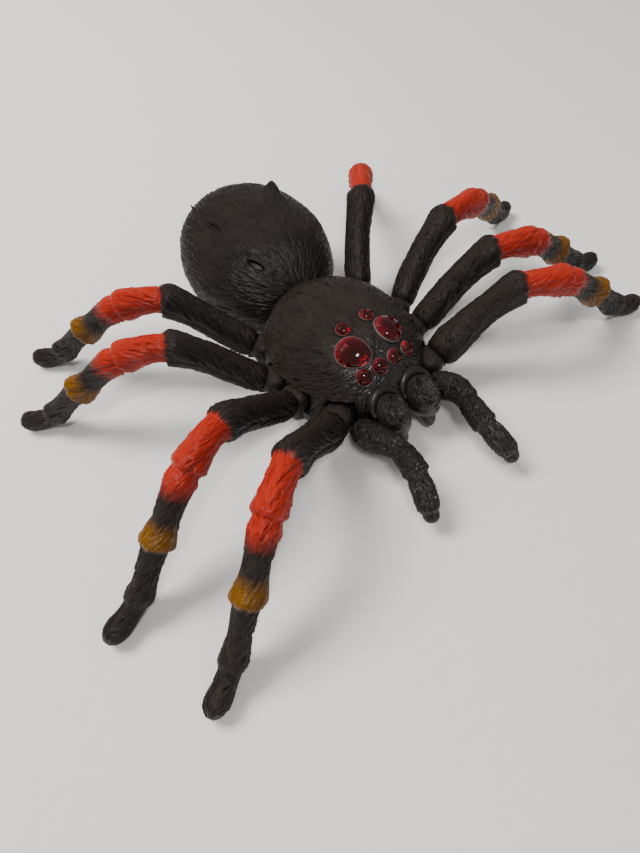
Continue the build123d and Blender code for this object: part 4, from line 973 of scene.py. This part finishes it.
# A pedipalp's centre line as (x, y, height, radius), on the left.
PALP_LINE = [
    (18.6, -49.0, 10.2, 2.6), (20.2, -52.0, 11.2, 5.4), (21.4, -56.5, 12.8, 6.3), (21.6, -62.0, 14.8, 5.9),
    (20.8, -67.3, 16.3, 4.9), (20.3, -69.4, 16.8, 5.0), (20.1, -70.4, 17.0, 4.0), (19.8, -72.0, 17.1, 4.5),
    (19.4, -76.0, 17.2, 4.9), (19.2, -80.0, 17.1, 5.1), (19.3, -83.2, 16.8, 5.3), (19.4, -84.2, 16.6, 4.2),
    (19.6, -85.4, 16.3, 4.0), (20.0, -87.2, 15.6, 4.5), (20.7, -90.4, 14.0, 4.7), (21.6, -93.6, 11.8, 4.6),
    (22.1, -95.6, 10.2, 4.3), (22.3, -96.6, 9.2, 3.1), (22.5, -97.8, 7.7, 3.0), (22.7, -98.9, 6.2, 2.6),
    (22.8, -99.4, 5.4, 1.2),
]
PALP_COAT = (2600, 2.6, 0.75, 14.0)

# The hair of a tube starts this far from its root and is this deep.
HAIR_START = 3.0
HAIR_DEPTH = 1.25

# How far out from that line each soft pedipalp stands, by its y.
PALP_BOW_Y = (-97.0, -91.0, -85.0, -78.0, -70.0, -63.0, -57.0, -50.0)
PALP_BOW = {
    "left": (-0.5, -0.8, -0.3, 0.6, 2.0, 2.4, 0.8, 0.0),
    "right": (-0.5, -0.6, -0.8, -2.3, -3.5, -2.8, -1.0, 0.0),
}

# The brow hood's arch: middle, half width, reach to the back, lift at the top, radius at
# the ends and what is added to it at the top.
BROW_CENTRE = (8.2, -53.2, 16.9)
BROW_WIDE, BROW_LONG, BROW_LIFT = 7.3, 6.6, 5.2
BROW_RADIUS, BROW_SWELL = 1.0, 1.8

FANG_LINE = [
    (8.0, -58.5, 10.0, 4.0),
    (7.9, -61.2, 7.6, 3.7),
    (7.7, -62.8, 5.4, 3.0),
    (7.5, -63.4, 3.6, 2.1),
    (7.4, -63.4, 2.6, 0.9),
]


def mirrored(stations, sign, shift=0.0):
    return [(sign * x + shift, y, z, radius) for x, y, z, radius in stations]


def build_pedipalp(side, sign):
    line = np.array(PALP_LINE)
    line[:, 0] += np.interp(line[:, 1], PALP_BOW_Y, PALP_BOW[side])
    line = mirrored(line, sign)
    name = f"pedipalp_skin_{side}"
    piece = build_tube(name, line, 0.26, 120, PALP_SKIN, PALP_COAT, seed=60 + sign)
    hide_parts(f"pedipalp_{side}")


def build_brow_ridge(side, sign):
    x, y, z = BROW_CENTRE
    line = []
    for turn in np.radians(np.linspace(-6, 186, 15)):
        lift = max(math.sin(turn), 0.0)
        along = (x + BROW_WIDE * math.cos(turn), y + BROW_LONG * math.sin(turn))
        line.append((*along, z + BROW_LIFT * lift, BROW_RADIUS + BROW_SWELL * lift))
    line = mirrored(line, sign, HEAD_SHIFT)
    build_tube(f"brow_ridge_{side}", line, 0.4, 48, SMOOTH_SKIN)


def build_fang(side, sign):
    line = mirrored(FANG_LINE, sign, HEAD_SHIFT)
    piece = build_tube(f"fang_{side}", line, 0.3, 40, SMOOTH_SKIN)
    if side == "left":
        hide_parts("fangs")


def build_head():
    for side, sign in (("left", 1), ("right", -1)):
        build_chelicera(side, sign)
        build_pedipalp(side, sign)
        build_brow_ridge(side, sign)
        build_fang(side, sign)


# ---- eyes
# Each lens's painted glow of light is brighter on the side towards the abdomen, where the light comes from.
LIT_SIDE = (-0.24, 0.97, 0.0)

# Profiles as (share of the outline, height): the lens below its dome, the rim as a closed
# ring round it, and the foiled cup behind it.
LENS_RINGS = 26
LENS_FOOT = [(0.99, -0.5), (0.9, -0.75), (0.5, -0.8), (0.05, -0.8)]
RIM_ROWS = [
    (0.95, 0.0), (0.97, 0.35), (1.00, 0.5), (1.03, 0.42), (1.05, 0.1), (1.07, -0.6), (0.95, -0.7),
]
BACKING_ROWS = [
    (0.03, -1.5), (0.5, -1.4), (0.80, -1.1), (0.93, -0.62), (0.94, -0.9), (0.5, -1.7), (0.03, -1.8),
]
EYE_COLUMNS = 72

# One lens of each size hides the CAD node that holds them all.
LENS_NODES = {"large_left": "eye_lenses_large", "small_1_left": "eye_lenses_small"}


def build_eye(label):
    """Domed lens in its socket: outer dome, pale rim and backing cup."""
    _, _, half_long, half_wide, rise, _, egg = EYES[label]
    point, normal, ahead, aside = eye_axes(EYES[label])
    angle = full_turn(EYE_COLUMNS)
    cosine, sine = np.cos(angle)[:, None], np.sin(angle)[:, None]
    lit = 0.72 + 0.34 * unit(ahead * cosine + aside * sine) @ np.array(LIT_SIDE)

    def ring(share, lift):
        long, wide = half_long * share, half_wide * share
        outline = ahead * (cosine * long) + aside * (sine * wide * (1 + egg * cosine))
        return point + outline + normal * lift

    turns = np.linspace(0.04, math.pi / 2, LENS_RINGS)
    dome = [(math.sin(turn), rise * math.cos(turn)) for turn in turns]
    for part, rows, material, slot in (
        ("lens", dome + LENS_FOOT, LENS, "eye_red"),
        ("rim", RIM_ROWS, LENS_RIM, "black_plastic"),
        ("backing", BACKING_ROWS, LENS_BACKING, "black_plastic"),
    ):
        grid = np.stack([ring(*row) for row in rows])
        if part == "rim":
            grid = np.concatenate([grid, grid[:1]])
        faces = ring_faces(len(grid), EYE_COLUMNS)
        if part == "rim":
            faces = faces[: (len(grid) - 1) * EYE_COLUMNS]
        vertices = place(with_ends(grid))
        # The painted glow grows towards the lens's outline and towards its lit side.
        edge = np.outer([min(share, 1.0) for share, _ in rows], lit)
        edge = padded(edge, len(vertices), 0.0)
        name = f"eye_{part}_{label}"
        piece = new_piece(name, vertices, faces, material, "frame", {"edge": edge})
        if part == "lens" and label in LENS_NODES:
            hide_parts(LENS_NODES[label])


# ---- carried-over CAD nodes
# By slot: name, colour, roughness, scale and depth of the grain, how metallic, mottling.
CAD_FINISHES = {
    "black_plastic": ("black_plastic", (0.012, 0.0115, 0.0115), 0.42),
    "white_plastic": ("acetal", (0.74, 0.72, 0.67), 0.38, 1400.0, 0.00004, 0.0, 0.05),
    "steel": ("plated_steel", (0.55, 0.55, 0.56), 0.28, 2200.0, 0.00002, 1.0),
    "tyre": ("tyre_rubber", (0.018, 0.018, 0.018), 0.78, 1800.0, 0.00008),
    "cell": ("cell_sleeve", (0.05, 0.14, 0.09), 0.3, 900.0, 0.00001),
    "board": ("circuit_board", (0.02, 0.13, 0.05), 0.4, 1500.0, 0.00002),
    "motor": ("motor_can", (0.48, 0.48, 0.5), 0.3, 2000.0, 0.00002, 1.0),
    "clear": ("clear_epoxy", (0.82, 0.8, 0.78), 0.1, 900.0, 0.00001),
    "contact": ("spring_brass", (0.62, 0.5, 0.26), 0.3, 1800.0, 0.00002, 1.0),
}


def dress_cad_nodes():
    """Gives each carried-over node the finish of its slot."""
    finishes = {slot: plain_material(*finish) for slot, finish in CAD_FINISHES.items()}
    finishes["body_vinyl"] = SMOOTH_SKIN
    slots = {entry["node"]: entry["material_slot"] for entry in frame["record"]["subparts"]}
    for name, node in frame["nodes"].items():
        if slots.get(name) in finishes:
            for material_slot in node.material_slots:
                material_slot.material = finishes[slots[name]]


# ---- stage, light and camera
TABLE_SIZE = 2.2
TABLE_ROWS = 12
TABLE_WHITE = (0.80, 0.79, 0.775)


def build_stage():
    """Flat pale table top, in metres about the frame's origin."""
    line = np.linspace(-TABLE_SIZE, TABLE_SIZE, TABLE_ROWS)
    vertices = [(x, y, 0.0) for y in line for x in line]
    cells = range(TABLE_ROWS - 1)
    corners = (0, 1, TABLE_ROWS + 1, TABLE_ROWS)
    faces = [[j * TABLE_ROWS + i + corner for corner in corners] for j in cells for i in cells]
    mesh = bpy.data.meshes.new("table_top")
    mesh.from_pydata(vertices, [], faces)
    mesh.materials.append(plain_material("table_white", TABLE_WHITE, 0.55, 300.0, 0.00002, tint=0.01))
    floor = add_object("table_top", mesh)


# The light of a white room, and its panels as (place, aim, size, watts, colour, whether it
# gives glints), in metres.
ROOM_COLOUR = (1.0, 0.985, 0.96, 1)
ROOM_STRENGTH = 0.41
PANELS = {
    "ceiling_panel": (
        (-0.45, 0.75, 1.15), (-0.1, 0.12, 0), (0.8, 0.5), 28.0, (1.0, 0.985, 0.95), False,
    ),
    "front_panel": (
        (-0.25, -0.55, 1.25), (0, 0, 0), (0.26, 0.14), 6.5, (1.0, 0.99, 0.97), True,
    ),
}


def add_area_light(name, at, towards, size, power, colour, glints):
    light = bpy.data.lights.new(name, "AREA")
    light.shape = "RECTANGLE"
    light.size, light.size_y = size
    light.energy = power
    light.color = colour
    lamp = add_object(name, light)
    back = unit(np.array(at) - np.array(towards))
    right = unit(np.cross((0.0, 1.0, 0.001), back))
    lamp.matrix_world = axes_matrix(right, np.cross(back, right), back, at)
    lamp.visible_glossy = glints


def build_lights():
    world = bpy.data.worlds.new("room")
    bpy.context.scene.world = world
    world.use_nodes = True
    background = world.node_tree.nodes["Background"]
    background.inputs["Color"].default_value = ROOM_COLOUR
    background.inputs["Strength"].default_value = ROOM_STRENGTH
    for name, panel in PANELS.items():
        add_area_light(name, *panel)


# The view that the toy is shown from: place, angles in degrees and lens.
CAMERA_PLACE = (-95.3, -142.8, 194.1)
CAMERA_AZIMUTH = -31.0
CAMERA_ELEVATION = 56.7
CAMERA_ROLL = -5.55
CAMERA_LENS = 21.49
SENSOR = 36.0


def build_camera():
    azimuth = math.radians(CAMERA_AZIMUTH)
    elevation = math.radians(CAMERA_ELEVATION)
    roll = math.radians(CAMERA_ROLL)
    flat = math.cos(elevation)
    back = np.array([math.sin(azimuth) * flat, -math.cos(azimuth) * flat, math.sin(elevation)])
    right = np.array([math.cos(azimuth), math.sin(azimuth), 0.0])
    upward = np.cross(back, right)
    turned_right = right * math.cos(roll) + upward * math.sin(roll)
    turned_up = upward * math.cos(roll) - right * math.sin(roll)
    data = bpy.data.cameras.new("camera")
    data.sensor_fit = "VERTICAL"
    data.sensor_height = SENSOR
    data.sensor_width = SENSOR
    data.lens = CAMERA_LENS
    data.clip_start = 0.01
    camera = add_object("camera", data)
    camera.matrix_world = axes_matrix(turned_right, turned_up, back, place(CAMERA_PLACE))
    bpy.context.scene.camera = camera


build_camera()
build_stage()
build_lights()
dress_cad_nodes()
build_carapace()
build_tail_spikes()
build_abdomen()
paint = leg_material(
    knee=station_length(KNEE_STATION) - 0.1,
    fade_start=station_length(FADE_STATION) - 3.0,
    fade_end=station_length(FADE_STATION) + 4.2,
    yellow_start=station_length(YELLOW_STATION) - 1.0,
    yellow_full=station_length(YELLOW_STATION) + 4.2,
    yellow_end=station_length(YELLOW_END_STATION) + 0.6,
)
for leg_side, leg_number in LEGS:
    build_leg(leg_side, leg_number, paint)
build_head()
for eye_name in EYES:
    build_eye(eye_name)
